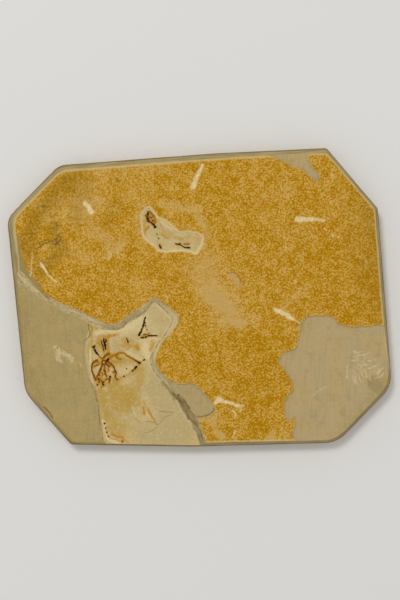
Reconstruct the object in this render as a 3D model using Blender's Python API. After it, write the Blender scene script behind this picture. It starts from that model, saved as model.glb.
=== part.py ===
"""A fossil pycnodont fish in an eight-cornered slab of laminated limestone.

The slab lies on its back with the fossils facing up. X runs across the face,
Y runs up the face, and the origin is on the back, under the middle of the slab.
Every number below is in millimetres, and the meshes are made in metres.
"""

import math

import bpy
import bmesh
from mathutils import Vector

MM = 0.001

# Driving dimensions of the slab.
SLAB_THICKNESS = 14.0
BEVEL_BASE = 10.0
BACK_CHAMFER = 0.8
ARC_STEP = math.radians(9.0)
SHARP_ANGLE = math.radians(12.0)

# Heights of the surfaces, from the back of the slab.
OCHRE_LEVEL = SLAB_THICKNESS
FLAKE_LEVEL = 13.3
WINDOW_LEVEL = 13.0
GREY_LEVEL = 12.3
FISH_LEVEL = 11.5
CUTTER_TOP = SLAB_THICKNESS + 3.0

# How the bones sit in the rock.
BONE_RELIEF = 0.5
BONE_SHOULDER = 0.2
SOCKET_DEPTH = 0.6
CLEARANCE = 0.3
CREST_SHARE = 0.4
CAP_SHARE = 0.5
CAP_MARGIN = 1.4

# Corners of the face, clockwise from the upper left when it is seen from the front:
# position, corner radius, and the width of the ground bevel on the edge that follows.
CORNERS = [
    ((-91.7, 86.2), 13.0, 4.4),
    ((10.9, 94.0), 0.0, 4.0),
    ((83.0, 97.4), 3.0, 2.6),
    ((116.6, 57.9), 5.0, 2.6),
    ((125.7, -58.2), 18.0, 3.0),
    ((90.0, -95.0), 19.0, 2.6),
    ((-6.0, -97.6), 0.0, 3.4),
    ((-83.7, -96.2), 3.0, 4.6),
    ((-113.8, -62.2), 19.0, 4.6),
    ((-125.5, 51.4), 12.0, 3.8),
]

# The carved wall between the ochre lamina and the area cut away, from the left edge
# round the tail to the bottom edge: the lip of the wall and then its toe.
WALL_LIP = [
    (-133.4, 30.0), (-114.0, 15.1), (-104.2, 5.3), (-95.1, -1.2), (-86.0, -5.5), (-78.2, -8.5),
    (-68.4, -13.1), (-64.9, -15.2), (-60.0, -17.3), (-54.1, -17.0), (-48.6, -13.5), (-41.1, -8.5),
    (-34.0, -3.5), (-29.1, 0.0), (-20.3, -6.0), (-13.0, -12.5), (-17.4, -21.6), (-24.5, -30.9),
    (-27.9, -38.9), (-27.5, -44.1), (-22.4, -51.0), (-15.5, -58.5), (-10.5, -64.5), (-2.9, -75.9),
    (3.1, -88.9), (8.9, -112.3),
]
WALL_TOE = [
    (-133.4, 22.2), (-116.5, 9.2), (-106.5, 2.1), (-97.7, -3.5), (-88.6, -9.0), (-79.5, -12.7),
    (-71.0, -17.2), (-66.5, -19.4), (-61.5, -21.4), (-52.8, -21.4), (-46.0, -17.0), (-38.5, -12.5),
    (-33.0, -7.5), (-29.4, -3.6), (-23.5, -8.5), (-18.4, -14.5), (-22.0, -22.5), (-27.9, -31.1),
    (-31.9, -39.0), (-31.4, -45.5), (-26.5, -53.0), (-19.4, -61.5), (-14.5, -68.1), (-8.5, -79.0),
    (-2.0, -90.0), (4.4, -112.3),
]
WALL_MEETS_STEP = 6

# The low step between the grey area on the left and the fossil lamina: its upper edge and
# its foot. Both start at the carved wall and run down past the bottom edge of the slab.
STEP_TOP = [
    (-71.0, -17.2), (-73.0, -24.6), (-74.4, -33.0), (-73.9, -42.1), (-71.4, -53.4), (-67.8, -61.6),
    (-65.6, -71.4), (-64.4, -85.0), (-61.3, -96.7), (-59.3, -112.3),
]
STEP_FOOT = [
    (-66.5, -19.4), (-70.1, -25.2), (-71.6, -33.0), (-71.6, -42.1), (-69.8, -53.4), (-66.5, -61.6),
    (-64.5, -71.4), (-63.4, -85.0), (-60.1, -96.7), (-58.0, -112.3),
]

# Areas where the ochre lamina has flaked off. Points beyond the slab run the flake out
# through its edge.
LOWER_RIGHT_FLAKE = [
    (137.0, -15.9), (120.7, -16.9), (114.0, -18.1), (95.4, -19.6), (90.8, -16.1), (83.4, -12.3),
    (72.6, -12.7), (66.1, -16.4), (63.5, -30.9), (60.3, -35.0), (54.4, -35.9), (51.8, -41.7),
    (56.8, -49.2), (60.9, -56.7), (60.9, -61.6), (57.7, -64.9), (55.2, -69.9), (56.8, -80.7),
    (61.8, -78.8), (62.7, -83.2), (60.9, -88.9), (63.5, -112.3), (137.0, -112.3),
]
LOWER_MIDDLE_FLAKE = [
    (-19.0, -56.7), (-11.2, -56.7), (-3.4, -57.1), (9.8, -70.3), (8.3, -75.9), (5.0, -77.6),
    (-6.0, -77.9),
]
TOP_FLAKE = [
    (36.2, 102.2), (40.8, 94.1), (54.4, 88.9), (60.3, 84.8), (67.6, 82.7), (73.4, 77.3),
    (77.5, 76.5), (76.7, 80.6), (70.1, 89.8), (72.0, 102.2),
]

# The small prepared window with the second fossil, and how far its walls lean in.
UPPER_WINDOW = [
    (-32.5, 58.9), (-37.2, 54.5), (-37.8, 48.2), (-36.8, 40.6), (-33.1, 35.7), (-28.5, 32.4),
    (-25.2, 29.7), (-9.9, 30.0), (-2.0, 28.7), (1.3, 33.3), (2.7, 38.0), (0.0, 41.6),
    (-7.0, 43.0), (-13.6, 43.3), (-21.9, 50.2), (-26.8, 52.3),
]
WINDOW_WALL = 0.7

# Bone colours: linear red, green and blue.
BLACK_BONE = (0.012, 0.011, 0.010)
BROWN_BONE = (0.090, 0.028, 0.008)

# Stone colours.
OCHRE_STONE = (0.447, 0.240, 0.025)
GREY_STONE = (0.385, 0.290, 0.125)
FOSSIL_STONE = (0.580, 0.450, 0.210)

# Each bone is a node: its colour, the height of the rock it lies in, and its strokes.
# A stroke is its width at each end and the points of its middle line. A bone's strokes
# are fused.
BONES = {
    "skull": (BROWN_BONE, FISH_LEVEL, [
        (0.8, 1.1, [(-66.1, -41.0), (-68.3, -41.9), (-69.9, -43.8), (-70.2, -46.7), (-69.5, -49.7),
                    (-68.1, -52.6)]),
        (0.7, 0.8, [(-69.9, -45.1), (-66.8, -44.0), (-63.7, -43.0)]),
        (0.8, 0.8, [(-62.5, -41.2), (-61.3, -41.6), (-60.9, -43.1), (-62.1, -44.0), (-63.4, -43.6),
                    (-63.7, -42.1), (-62.5, -41.2)]),
        (1.0, 0.7, [(-62.4, -41.1), (-62.1, -39.1), (-60.4, -37.2), (-58.4, -37.1)]),
        (0.7, 0.8, [(-64.5, -39.1), (-63.2, -39.9), (-62.2, -39.5)]),
        (1.2, 0.8, [(-59.2, -39.5), (-59.8, -40.9), (-61.0, -42.2)]),
        (0.9, 1.1, [(-63.2, -43.8), (-63.8, -45.9), (-65.6, -49.9), (-66.8, -52.0)]),
        (0.9, 0.8, [(-61.9, -44.1), (-61.7, -46.0), (-62.1, -47.7), (-61.3, -50.1), (-60.4, -52.0)]),
        (0.9, 1.2, [(-60.8, -43.4), (-60.0, -44.2), (-58.4, -45.4)]),
    ]),
    "jaws": (BROWN_BONE, FISH_LEVEL, [
        (0.7, 1.1, [(-66.6, -54.4), (-65.3, -54.5), (-65.4, -56.0), (-66.4, -57.6)]),
        (0.8, 1.0, [(-65.5, -54.4), (-63.8, -54.3), (-63.1, -55.9), (-62.3, -57.7)]),
    ]),
    "hyoid_bone": (BROWN_BONE, FISH_LEVEL, [
        (0.8, 0.8, [(-61.4, -54.2), (-59.7, -53.4), (-58.2, -53.3)]),
        (1.0, 0.7, [(-57.7, -51.4), (-58.2, -53.3), (-58.9, -56.0)]),
    ]),
    "shoulder_girdle": (BROWN_BONE, FISH_LEVEL, [
        (0.9, 0.8, [(-58.2, -42.4), (-56.5, -44.1), (-55.1, -47.3), (-54.2, -49.7), (-54.7, -51.4),
                    (-53.0, -54.0)]),
        (0.8, 0.6, [(-54.8, -48.2), (-56.6, -49.1)]),
    ]),
    "backbone": (BROWN_BONE, FISH_LEVEL, [
        (0.8, 1.1, [(-56.9, -38.6), (-54.9, -37.6), (-52.2, -36.4), (-49.3, -36.2), (-47.4, -38.0),
                    (-44.0, -39.7), (-41.1, -41.7), (-39.1, -42.8)]),
        (0.8, 0.6, [(-54.7, -37.7), (-53.8, -39.1), (-50.8, -40.4)]),
    ]),
    "nape_spine": (BLACK_BONE, FISH_LEVEL, [
        (1.2, 0.8, [(-69.3, -32.1), (-68.2, -34.3), (-66.9, -36.5), (-65.9, -37.5)]),
        (0.6, 0.8, [(-67.7, -31.1), (-68.5, -33.4)]),
    ]),
    "dorsal_spine_1": (BLACK_BONE, FISH_LEVEL, [
        (0.7, 0.9, [(-64.2, -28.5), (-63.5, -31.2), (-62.9, -34.7)]),
    ]),
    "dorsal_spine_2": (BLACK_BONE, FISH_LEVEL, [
        (0.8, 1.0, [(-62.2, -26.7), (-61.6, -30.2), (-61.0, -32.1), (-60.9, -34.3)]),
        (0.7, 0.7, [(-62.0, -27.2), (-60.4, -27.7), (-60.5, -29.2), (-61.5, -30.2)]),
    ]),
    "rear_dorsal_ray": (BLACK_BONE, FISH_LEVEL, [
        (0.7, 1.0, [(-47.5, -26.4), (-46.9, -28.1), (-46.4, -29.9)]),
    ]),
    "tail_upper_lobe": (BLACK_BONE, FISH_LEVEL, [
        (1.2, 0.7, [(-39.6, -25.2), (-38.2, -22.6), (-36.9, -19.4), (-36.1, -16.8), (-35.0, -12.7)]),
    ]),
    "tail_lower_lobe": (BLACK_BONE, FISH_LEVEL, [
        (1.1, 0.7, [(-37.8, -26.5), (-35.7, -25.3), (-33.0, -25.0), (-29.8, -25.3), (-26.8, -25.4)]),
        (0.7, 0.7, [(-37.0, -25.9), (-35.6, -23.9), (-33.2, -24.8)]),
    ]),
    "belly_scute_1": (BLACK_BONE, FISH_LEVEL, [(1.0, 0.8, [(-36.7, -41.0), (-35.3, -40.3)])]),
    "belly_scute_2": (BLACK_BONE, FISH_LEVEL, [(1.2, 1.1, [(-40.8, -45.1), (-42.2, -46.7)])]),
    "belly_scute_3": (BLACK_BONE, FISH_LEVEL, [(1.1, 0.8, [(-43.4, -47.7), (-44.6, -48.3)])]),
    "belly_scute_4": (BLACK_BONE, FISH_LEVEL, [(1.2, 1.0, [(-47.6, -46.4), (-47.0, -47.0)])]),
    "belly_scute_5": (BLACK_BONE, FISH_LEVEL, [(1.0, 0.9, [(-49.6, -51.6), (-48.8, -51.2)])]),
    "second_fossil_head": (BLACK_BONE, WINDOW_LEVEL, [
        (1.1, 1.3, [(-33.4, 55.8), (-33.2, 53.6), (-33.8, 51.1), (-32.6, 49.1), (-30.4, 48.0),
                    (-28.3, 45.1)]),
        (0.9, 0.7, [(-33.3, 53.8), (-31.7, 54.9), (-29.7, 53.2)]),
        (0.8, 0.9, [(-33.1, 49.9), (-31.1, 51.7), (-29.1, 50.4), (-29.3, 47.0)]),
    ]),
    "second_fossil_fin_spine": (BLACK_BONE, WINDOW_LEVEL, [
        (0.8, 1.1, [(-26.5, 34.5), (-25.5, 33.0), (-24.6, 31.5)]),
    ]),
    "second_fossil_tail": (BLACK_BONE, WINDOW_LEVEL, [
        (0.8, 1.0, [(-16.1, 35.0), (-13.8, 34.5), (-11.0, 33.3), (-9.0, 32.3), (-5.9, 32.1)]),
        (0.9, 0.7, [(-10.9, 33.2), (-9.6, 34.6), (-6.4, 34.7)]),
    ]),
    "second_fossil_scute_1": (BLACK_BONE, WINDOW_LEVEL, [(1.2, 1.1, [(-28.0, 41.5), (-27.5, 40.8)])]),
    "second_fossil_scute_2": (BLACK_BONE, WINDOW_LEVEL, [(1.2, 1.0, [(-26.8, 38.5), (-26.3, 37.8)])]),
    "third_fossil_scute_1": (BLACK_BONE, FISH_LEVEL, [(1.0, 0.9, [(-62.1, -81.8), (-61.6, -82.5)])]),
    "third_fossil_scute_2": (BLACK_BONE, FISH_LEVEL, [(1.1, 1.0, [(-61.2, -84.7), (-60.7, -85.4)])]),
    "third_fossil_scute_3": (BLACK_BONE, FISH_LEVEL, [(1.3, 1.1, [(-60.4, -87.5), (-59.9, -88.3)])]),
    "third_fossil_scute_4": (BLACK_BONE, FISH_LEVEL, [(1.2, 1.1, [(-59.3, -90.2), (-58.9, -91.0)])]),
    "third_fossil_scute_5": (BROWN_BONE, FISH_LEVEL, [(1.0, 0.9, [(-50.6, -93.4), (-50.0, -93.6)])]),
}


def clear_scene():
    for item in list(bpy.data.objects):
        bpy.data.objects.remove(item, do_unlink=True)


def make_material(name, colour, roughness):
    material = bpy.data.materials.new(name)
    material.use_nodes = True
    shader = material.node_tree.nodes["Principled BSDF"]
    shader.inputs["Base Color"].default_value = (*colour, 1.0)
    shader.inputs["Roughness"].default_value = roughness
    shader.inputs["Metallic"].default_value = 0.0
    material.diffuse_color = (*colour, 1.0)
    return material


def left_normal(start, end):
    """Unit vector at a right angle to a line, on its left."""
    along = (Vector(end) - Vector(start)).normalized()
    return Vector((-along.y, along.x))


def inset_corners(corners, share):
    """Move every edge of the face inward by a share of its bevel width."""
    moved = []
    count = len(corners)
    for index in range(count):
        before = Vector(corners[index - 1][0])
        here = Vector(corners[index][0])
        after = Vector(corners[(index + 1) % count][0])
        radius = corners[index][1]
        normal_in = -left_normal(before, here)
        normal_out = -left_normal(here, after)
        width_in = corners[index - 1][2] * share
        width_out = corners[index][2] * share
        bend = normal_in.cross(normal_out)
        if abs(bend) < 0.2:
            shift = (normal_in * width_in + normal_out * width_out) / 2.0
        else:
            shift = Vector((
                (width_in * normal_out.y - width_out * normal_in.y) / bend,
                (width_out * normal_in.x - width_in * normal_out.x) / bend,
            ))
        moved.append((here + shift, radius))
    return moved


def rounded_outline(corners):
    """Turn corners with radii into points, with an arc at each corner."""
    points = []
    count = len(corners)
    for index in range(count):
        before = Vector(corners[index - 1][0])
        here = Vector(corners[index][0])
        after = Vector(corners[(index + 1) % count][0])
        radius = corners[index][1]
        if radius == 0.0:
            points.append(here)
            continue
        to_before = (before - here).normalized()
        to_after = (after - here).normalized()
        turn = math.pi - to_before.angle(to_after)
        reach = radius * math.tan(turn / 2.0)
        centre = here + (to_before + to_after).normalized() * radius / math.cos(turn / 2.0)
        start = here + to_before * reach - centre
        steps = max(2, round(turn / ARC_STEP))
        for step in range(steps + 1):
            angle = -turn * step / steps
            spoke = Vector((
                start.x * math.cos(angle) - start.y * math.sin(angle),
                start.x * math.sin(angle) + start.y * math.cos(angle),
            ))
            points.append(centre + spoke)
    return points


def inset_outline(points, width):
    """Move each point of an outline inward, for the leaning walls of a cut."""
    count = len(points)
    area = sum(Vector(points[i - 1]).cross(Vector(points[i])) for i in range(count))
    side = 1.0 if area > 0.0 else -1.0
    moved = []
    for index in range(count):
        before = points[index - 1]
        here = points[index]
        after = points[(index + 1) % count]
        normal = (left_normal(before, here) + left_normal(here, after)).normalized() * side
        moved.append(Vector(here) + normal * width)
    return moved


def mesh_object(name, build):
    """Make an object from a function that fills a bmesh in millimetres."""
    work = bmesh.new()
    build(work)
    bmesh.ops.recalc_face_normals(work, faces=work.faces)
    bmesh.ops.scale(work, vec=(MM, MM, MM), verts=work.verts)
    mesh = bpy.data.meshes.new(name)
    work.to_mesh(mesh)
    work.free()
    item = bpy.data.objects.new(name, mesh)
    bpy.context.scene.collection.objects.link(item)
    return item


def loft(name, rings):
    """A closed solid through rings of points, each ring (height, points)."""

    def build(work):
        rows = [[work.verts.new((p[0], p[1], height)) for p in points] for height, points in rings]
        count = len(rows[0])
        for lower, upper in zip(rows, rows[1:]):
            for i in range(count):
                j = (i + 1) % count
                wall = work.faces.new((lower[i], lower[j], upper[j], upper[i]))
                bmesh.ops.triangulate(work, faces=[wall])
        work.faces.new(rows[0])
        work.faces.new(rows[-1])

    return mesh_object(name, build)


def stroke_outline(stroke, share, margin):
    """Outline of a tapered band along a line, with a pointed cap at each end.

    The band has a share of the stroke's own width, and a margin all round it.
    """
    start_width, end_width, points = stroke
    line = [Vector(p) for p in points]
    last_index = len(line) - 1
    sides = []
    for index, here in enumerate(line):
        before = line[max(index - 1, 0)]
        after = line[min(index + 1, last_index)]
        width = start_width + (end_width - start_width) * index / last_index
        sides.append(left_normal(before, after) * (width * share / 2.0 + margin))
    first_cap = (line[0] - line[1]).normalized() * (start_width * share * CAP_SHARE + margin * CAP_MARGIN)
    last_cap = (line[-1] - line[-2]).normalized() * (end_width * share * CAP_SHARE + margin * CAP_MARGIN)
    first = line[0] + first_cap
    last = line[-1] + last_cap
    left = [here + side for here, side in zip(line, sides)]
    right = [here - side for here, side in zip(line, sides)]
    return [first] + left + [last] + right[::-1]


def bone_stroke(name, level, stroke):
    """A low ridge: full width up to its shoulder, then in to a narrow crest."""
    base = stroke_outline(stroke, 1.0, 0.0)
    crest = stroke_outline(stroke, CREST_SHARE, 0.0)
    return loft(name, [
        (level - SOCKET_DEPTH + CLEARANCE, base),
        (level + BONE_SHOULDER, base),
        (level + BONE_RELIEF, crest),
    ])


def socket_stroke(name, level, stroke):
    """The space in the rock for a stroke, clear of it all round and below."""
    mouth = stroke_outline(stroke, 1.0, CLEARANCE)
    return loft(name, [(level - SOCKET_DEPTH, mouth), (CUTTER_TOP, mouth)])


def apply_boolean(item, tools, operation):
    """Join the tools to an item or cut them from it, and remove the tools."""
    group = bpy.data.collections.new(item.name + "_tools")
    bpy.context.scene.collection.children.link(group)
    for tool in tools:
        group.objects.link(tool)
        tool.hide_render = True
        tool.display_type = "WIRE"
    change = item.modifiers.new("fit", "BOOLEAN")
    change.operation = operation
    change.solver = "EXACT"
    change.operand_type = "COLLECTION"
    change.collection = group
    graph = bpy.context.evaluated_depsgraph_get()
    result = bpy.data.meshes.new_from_object(item.evaluated_get(graph))
    item.modifiers.remove(change)
    old_mesh = item.data
    item.data = result
    result.name = item.name
    bpy.data.meshes.remove(old_mesh)
    for tool in tools:
        bpy.data.objects.remove(tool, do_unlink=True)
    bpy.data.collections.remove(group)


def cut_area_tool():
    """The space above the grey area and the fossil lamina, with the wall and the step."""

    def build(work):
        def row(points, height):
            return [work.verts.new((p[0], p[1], height)) for p in points]

        meet = WALL_MEETS_STEP
        lip = row(WALL_LIP, OCHRE_LEVEL)
        grey_toe = row(WALL_TOE[:meet + 1], GREY_LEVEL)
        fish_toe = row(WALL_TOE[meet + 1:], FISH_LEVEL)
        toe = grey_toe + fish_toe
        step_top = [grey_toe[-1]] + row(STEP_TOP[1:], GREY_LEVEL)
        step_foot = [fish_toe[0]] + row(STEP_FOOT[1:], FISH_LEVEL)
        far_corner = (WALL_TOE[0][0], STEP_TOP[-1][1])
        floor_corner = row([far_corner], GREY_LEVEL)[0]
        roof = row(WALL_LIP + [far_corner], CUTTER_TOP)

        triangles = []
        for i in range(len(lip) - 1):
            triangles.append(work.faces.new((lip[i], lip[i + 1], toe[i + 1], toe[i])))
            work.faces.new((roof[i], roof[i + 1], lip[i + 1], lip[i]))
        for i in range(len(step_top) - 1):
            triangles.append(work.faces.new((step_top[i], step_top[i + 1], step_foot[i + 1], step_foot[i])))
        bmesh.ops.triangulate(work, faces=triangles)
        work.faces.new(grey_toe + step_top[1:] + [floor_corner])
        work.faces.new(fish_toe + step_foot[:0:-1])
        work.faces.new(roof)
        work.faces.new((lip[0], grey_toe[0], floor_corner, roof[-1], roof[0]))
        work.faces.new((lip[-1], fish_toe[-1], step_foot[-1], step_top[-1], floor_corner, roof[-1], roof[-2]))

    return mesh_object("cut_area_tool", build)


def flake_tool(name, outline, level, lean):
    return loft(name, [
        (level, inset_outline(outline, lean)),
        (OCHRE_LEVEL, outline),
        (CUTTER_TOP, outline),
    ])


def stone_block():
    """The sawn block with its ground bevel, before anything is cut from its face."""
    outer = rounded_outline([(c[0], c[1]) for c in CORNERS])
    face = rounded_outline(inset_corners(CORNERS, 1.0))
    back = inset_outline(outer, BACK_CHAMFER)
    return loft("slab", [
        (0.0, back),
        (BACK_CHAMFER, outer),
        (BEVEL_BASE, outer),
        (SLAB_THICKNESS, face),
    ])


def shade(item):
    """Smooth shading with the real edges kept sharp."""
    item.data.shade_smooth()
    item.data.set_sharp_from_angle(angle=SHARP_ANGLE)


def paint_slab(slab):
    """Give the faces of the slab the colours of its lamina."""
    slab.data.materials.clear()
    slab.data.materials.append(make_material("grey_limestone", GREY_STONE, 0.85))
    slab.data.materials.append(make_material("ochre_lamina", OCHRE_STONE, 0.9))
    slab.data.materials.append(make_material("fossil_lamina", FOSSIL_STONE, 0.85))
    for face in slab.data.polygons:
        height = face.center.z / MM
        faces_up = face.normal.z > 0.99
        face.material_index = 0
        if faces_up and height > OCHRE_LEVEL - 0.05:
            face.material_index = 1
        if faces_up and (height < FISH_LEVEL + 0.05 or abs(height - WINDOW_LEVEL) < 0.05):
            face.material_index = 2


def make_bone(name, colour, level, strokes):
    pieces = [
        bone_stroke(f"{name}_stroke_{number}", level, stroke)
        for number, stroke in enumerate(strokes)
    ]
    bone = pieces[0]
    bone.name = name
    if len(pieces) > 1:
        apply_boolean(bone, pieces[1:], "UNION")
    bone.data.materials.clear()
    bone.data.materials.append(make_material(name + "_mineral", colour, 0.6))
    shade(bone)


def make_slab():
    slab = stone_block()
    tools = [
        cut_area_tool(),
        flake_tool("lower_right_flake_tool", LOWER_RIGHT_FLAKE, FLAKE_LEVEL, 0.2),
        flake_tool("lower_middle_flake_tool", LOWER_MIDDLE_FLAKE, FLAKE_LEVEL, 0.2),
        flake_tool("top_flake_tool", TOP_FLAKE, FLAKE_LEVEL, 0.2),
        flake_tool("upper_window_tool", UPPER_WINDOW, WINDOW_LEVEL, WINDOW_WALL),
    ]
    for name, (_, level, strokes) in BONES.items():
        for number, stroke in enumerate(strokes):
            tools.append(socket_stroke(f"{name}_socket_{number}", level, stroke))
    apply_boolean(slab, tools, "DIFFERENCE")
    paint_slab(slab)
    shade(slab)


def main():
    clear_scene()
    make_slab()
    for name, (colour, level, strokes) in BONES.items():
        make_bone(name, colour, level, strokes)


main()
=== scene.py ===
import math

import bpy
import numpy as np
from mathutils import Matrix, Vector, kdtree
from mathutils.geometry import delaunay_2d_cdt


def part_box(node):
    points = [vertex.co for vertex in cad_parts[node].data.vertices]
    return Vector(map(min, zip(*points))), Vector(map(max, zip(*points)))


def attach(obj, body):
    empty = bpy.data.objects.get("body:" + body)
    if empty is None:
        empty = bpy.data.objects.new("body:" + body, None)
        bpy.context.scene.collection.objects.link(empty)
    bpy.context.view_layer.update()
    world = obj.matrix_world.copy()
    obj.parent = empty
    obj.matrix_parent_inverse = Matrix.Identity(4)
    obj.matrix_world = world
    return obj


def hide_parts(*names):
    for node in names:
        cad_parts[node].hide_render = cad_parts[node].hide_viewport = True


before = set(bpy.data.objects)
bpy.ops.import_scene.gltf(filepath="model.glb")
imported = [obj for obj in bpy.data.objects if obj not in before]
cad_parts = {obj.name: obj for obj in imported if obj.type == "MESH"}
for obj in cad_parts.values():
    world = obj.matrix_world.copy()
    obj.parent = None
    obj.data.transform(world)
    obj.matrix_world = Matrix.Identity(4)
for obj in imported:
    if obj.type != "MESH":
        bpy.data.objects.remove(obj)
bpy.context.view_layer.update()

# Looks of a fossil pycnodont fish in a sawn slab of laminated limestone.
#
# The slab lies on its back with the fossils up. X runs across the face and Y up the face.
# Every length is in millimetres until a mesh is made, and meshes are in metres.
# The stone is one mesh: a height map over the face, with sawn sides and a rough back.
# Its colours are node materials. Where they change by place, marks painted on the mesh's
# points say where, and each mark is a short line given in a list.

MM = 0.001
SLAB_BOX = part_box("slab")

# Heights of the surfaces above the back.
OCHRE_LEVEL = SLAB_BOX[1].z / MM
FLAKE_LEVEL = OCHRE_LEVEL - 0.7
WINDOW_LEVEL = OCHRE_LEVEL - 1.0
GREY_LEVEL = OCHRE_LEVEL - 1.7
FISH_LEVEL = OCHRE_LEVEL - 2.5
BEVEL_BASE = OCHRE_LEVEL - 4.0
BACK_CHAMFER = 0.8

# Corners of the face, clockwise from the upper left: position, corner radius, and the
# width of the ground bevel on the edge that follows.
CORNERS = [
    ((-91.7, 86.2), 13.0, 4.4),
    ((10.9, 94.0), 0.0, 4.0),
    ((83.0, 97.4), 3.0, 2.6),
    ((116.6, 57.9), 5.0, 2.6),
    ((125.7, -58.2), 18.0, 3.0),
    ((90.0, -95.0), 19.0, 2.6),
    ((-6.0, -97.6), 0.0, 3.4),
    ((-83.7, -96.2), 3.0, 4.6),
    ((-113.8, -62.2), 19.0, 4.6),
    ((-125.5, 51.4), 12.0, 3.8),
]
ARC_STEP = math.radians(9.0)

# The carved wall between the ochre lamina and the area cut away, from the left edge
# round the tail to the bottom edge: its lip and then its toe.
WALL_LIP = [
    (-133.4, 30.0), (-114.0, 15.1), (-104.2, 5.3), (-95.1, -1.2), (-86.0, -5.5), (-78.2, -8.5),
    (-68.4, -13.1), (-64.9, -15.2), (-60.0, -17.3), (-54.1, -17.0), (-48.6, -13.5), (-41.1, -8.5),
    (-34.0, -3.5), (-29.1, 0.0), (-20.3, -6.0), (-13.0, -12.5), (-17.4, -21.6), (-24.5, -30.9),
    (-27.9, -38.9), (-27.5, -44.1), (-22.4, -51.0), (-15.5, -58.5), (-10.5, -64.5), (-2.9, -75.9),
    (3.1, -88.9), (8.9, -112.3),
]
WALL_TOE = [
    (-133.4, 22.2), (-116.5, 9.2), (-106.5, 2.1), (-97.7, -3.5), (-88.6, -9.0), (-79.5, -12.7),
    (-71.0, -17.2), (-66.5, -19.4), (-61.5, -21.4), (-52.8, -21.4), (-46.0, -17.0), (-38.5, -12.5),
    (-33.0, -7.5), (-29.4, -3.6), (-23.5, -8.5), (-18.4, -14.5), (-22.0, -22.5), (-27.9, -31.1),
    (-31.9, -39.0), (-31.4, -45.5), (-26.5, -53.0), (-19.4, -61.5), (-14.5, -68.1), (-8.5, -79.0),
    (-2.0, -90.0), (4.4, -112.3),
]
WALL_MEETS_STEP = 6

# The low step between the grey area on the left and the fossil lamina.
STEP_TOP = [
    (-71.0, -17.2), (-73.0, -24.6), (-74.4, -33.0), (-73.9, -42.1), (-71.4, -53.4), (-67.8, -61.6),
    (-65.6, -71.4), (-64.4, -85.0), (-61.3, -96.7), (-59.3, -112.3),
]
STEP_FOOT = [
    (-66.5, -19.4), (-70.1, -25.2), (-71.6, -33.0), (-71.6, -42.1), (-69.8, -53.4), (-66.5, -61.6),
    (-64.5, -71.4), (-63.4, -85.0), (-60.1, -96.7), (-58.0, -112.3),
]

# Outlines of the areas where the ochre lamina has come off.
RIGHT_FLAKE = [
    (137.0, -17.6), (120.7, -17.9), (112.0, -18.5), (95.4, -18.9), (91.4, -17.4), (88.6, -14.6),
    (83.4, -12.0), (72.6, -12.7), (66.1, -16.4), (63.5, -30.9), (60.3, -35.0), (54.4, -35.9),
    (51.8, -41.7),
    (56.8, -49.2), (60.9, -56.7), (60.9, -61.6), (57.7, -64.9), (55.2, -69.9), (56.8, -80.7),
    (61.8, -78.8), (62.7, -83.2), (61.6, -86.1), (60.8, -89.5), (62.5, -93.0), (65.1, -94.8),
    (66.0, -112.3), (137.0, -112.3),
]
MIDDLE_FLAKE = [
    (-19.0, -56.7), (-11.2, -56.7), (-3.4, -57.1), (9.8, -70.3), (8.3, -75.9), (5.0, -77.6),
    (-6.0, -77.9),
]
TOP_FLAKE = [
    (36.2, 102.2), (40.8, 94.1), (54.4, 88.9), (60.3, 84.8), (67.6, 82.7), (73.4, 77.3),
    (77.5, 76.5), (76.7, 80.6), (70.1, 89.8), (72.0, 102.2),
]
WINDOW_EDGE = [
    (-32.5, 58.9), (-37.2, 54.5), (-37.8, 48.2), (-36.8, 40.6), (-33.1, 35.7), (-28.5, 32.4),
    (-25.2, 29.7), (-9.9, 30.0), (-2.0, 28.7), (1.3, 33.3), (2.7, 38.0), (0.0, 41.6),
    (-7.0, 43.0), (-13.6, 43.3), (-21.9, 50.2), (-26.8, 52.3),
]
# Each area is its outline, the height of its floor, the width of its wall, and how far its
# broken edge wanders.
PITS = [
    (RIGHT_FLAKE, FLAKE_LEVEL, 0.2, 0.8),
    (MIDDLE_FLAKE, FLAKE_LEVEL, 0.2, 0.5),
    (TOP_FLAKE, FLAKE_LEVEL, 0.2, 0.6),
    (WINDOW_EDGE, WINDOW_LEVEL, 1.3, 0.3),
]
WINDOW = 3

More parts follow.
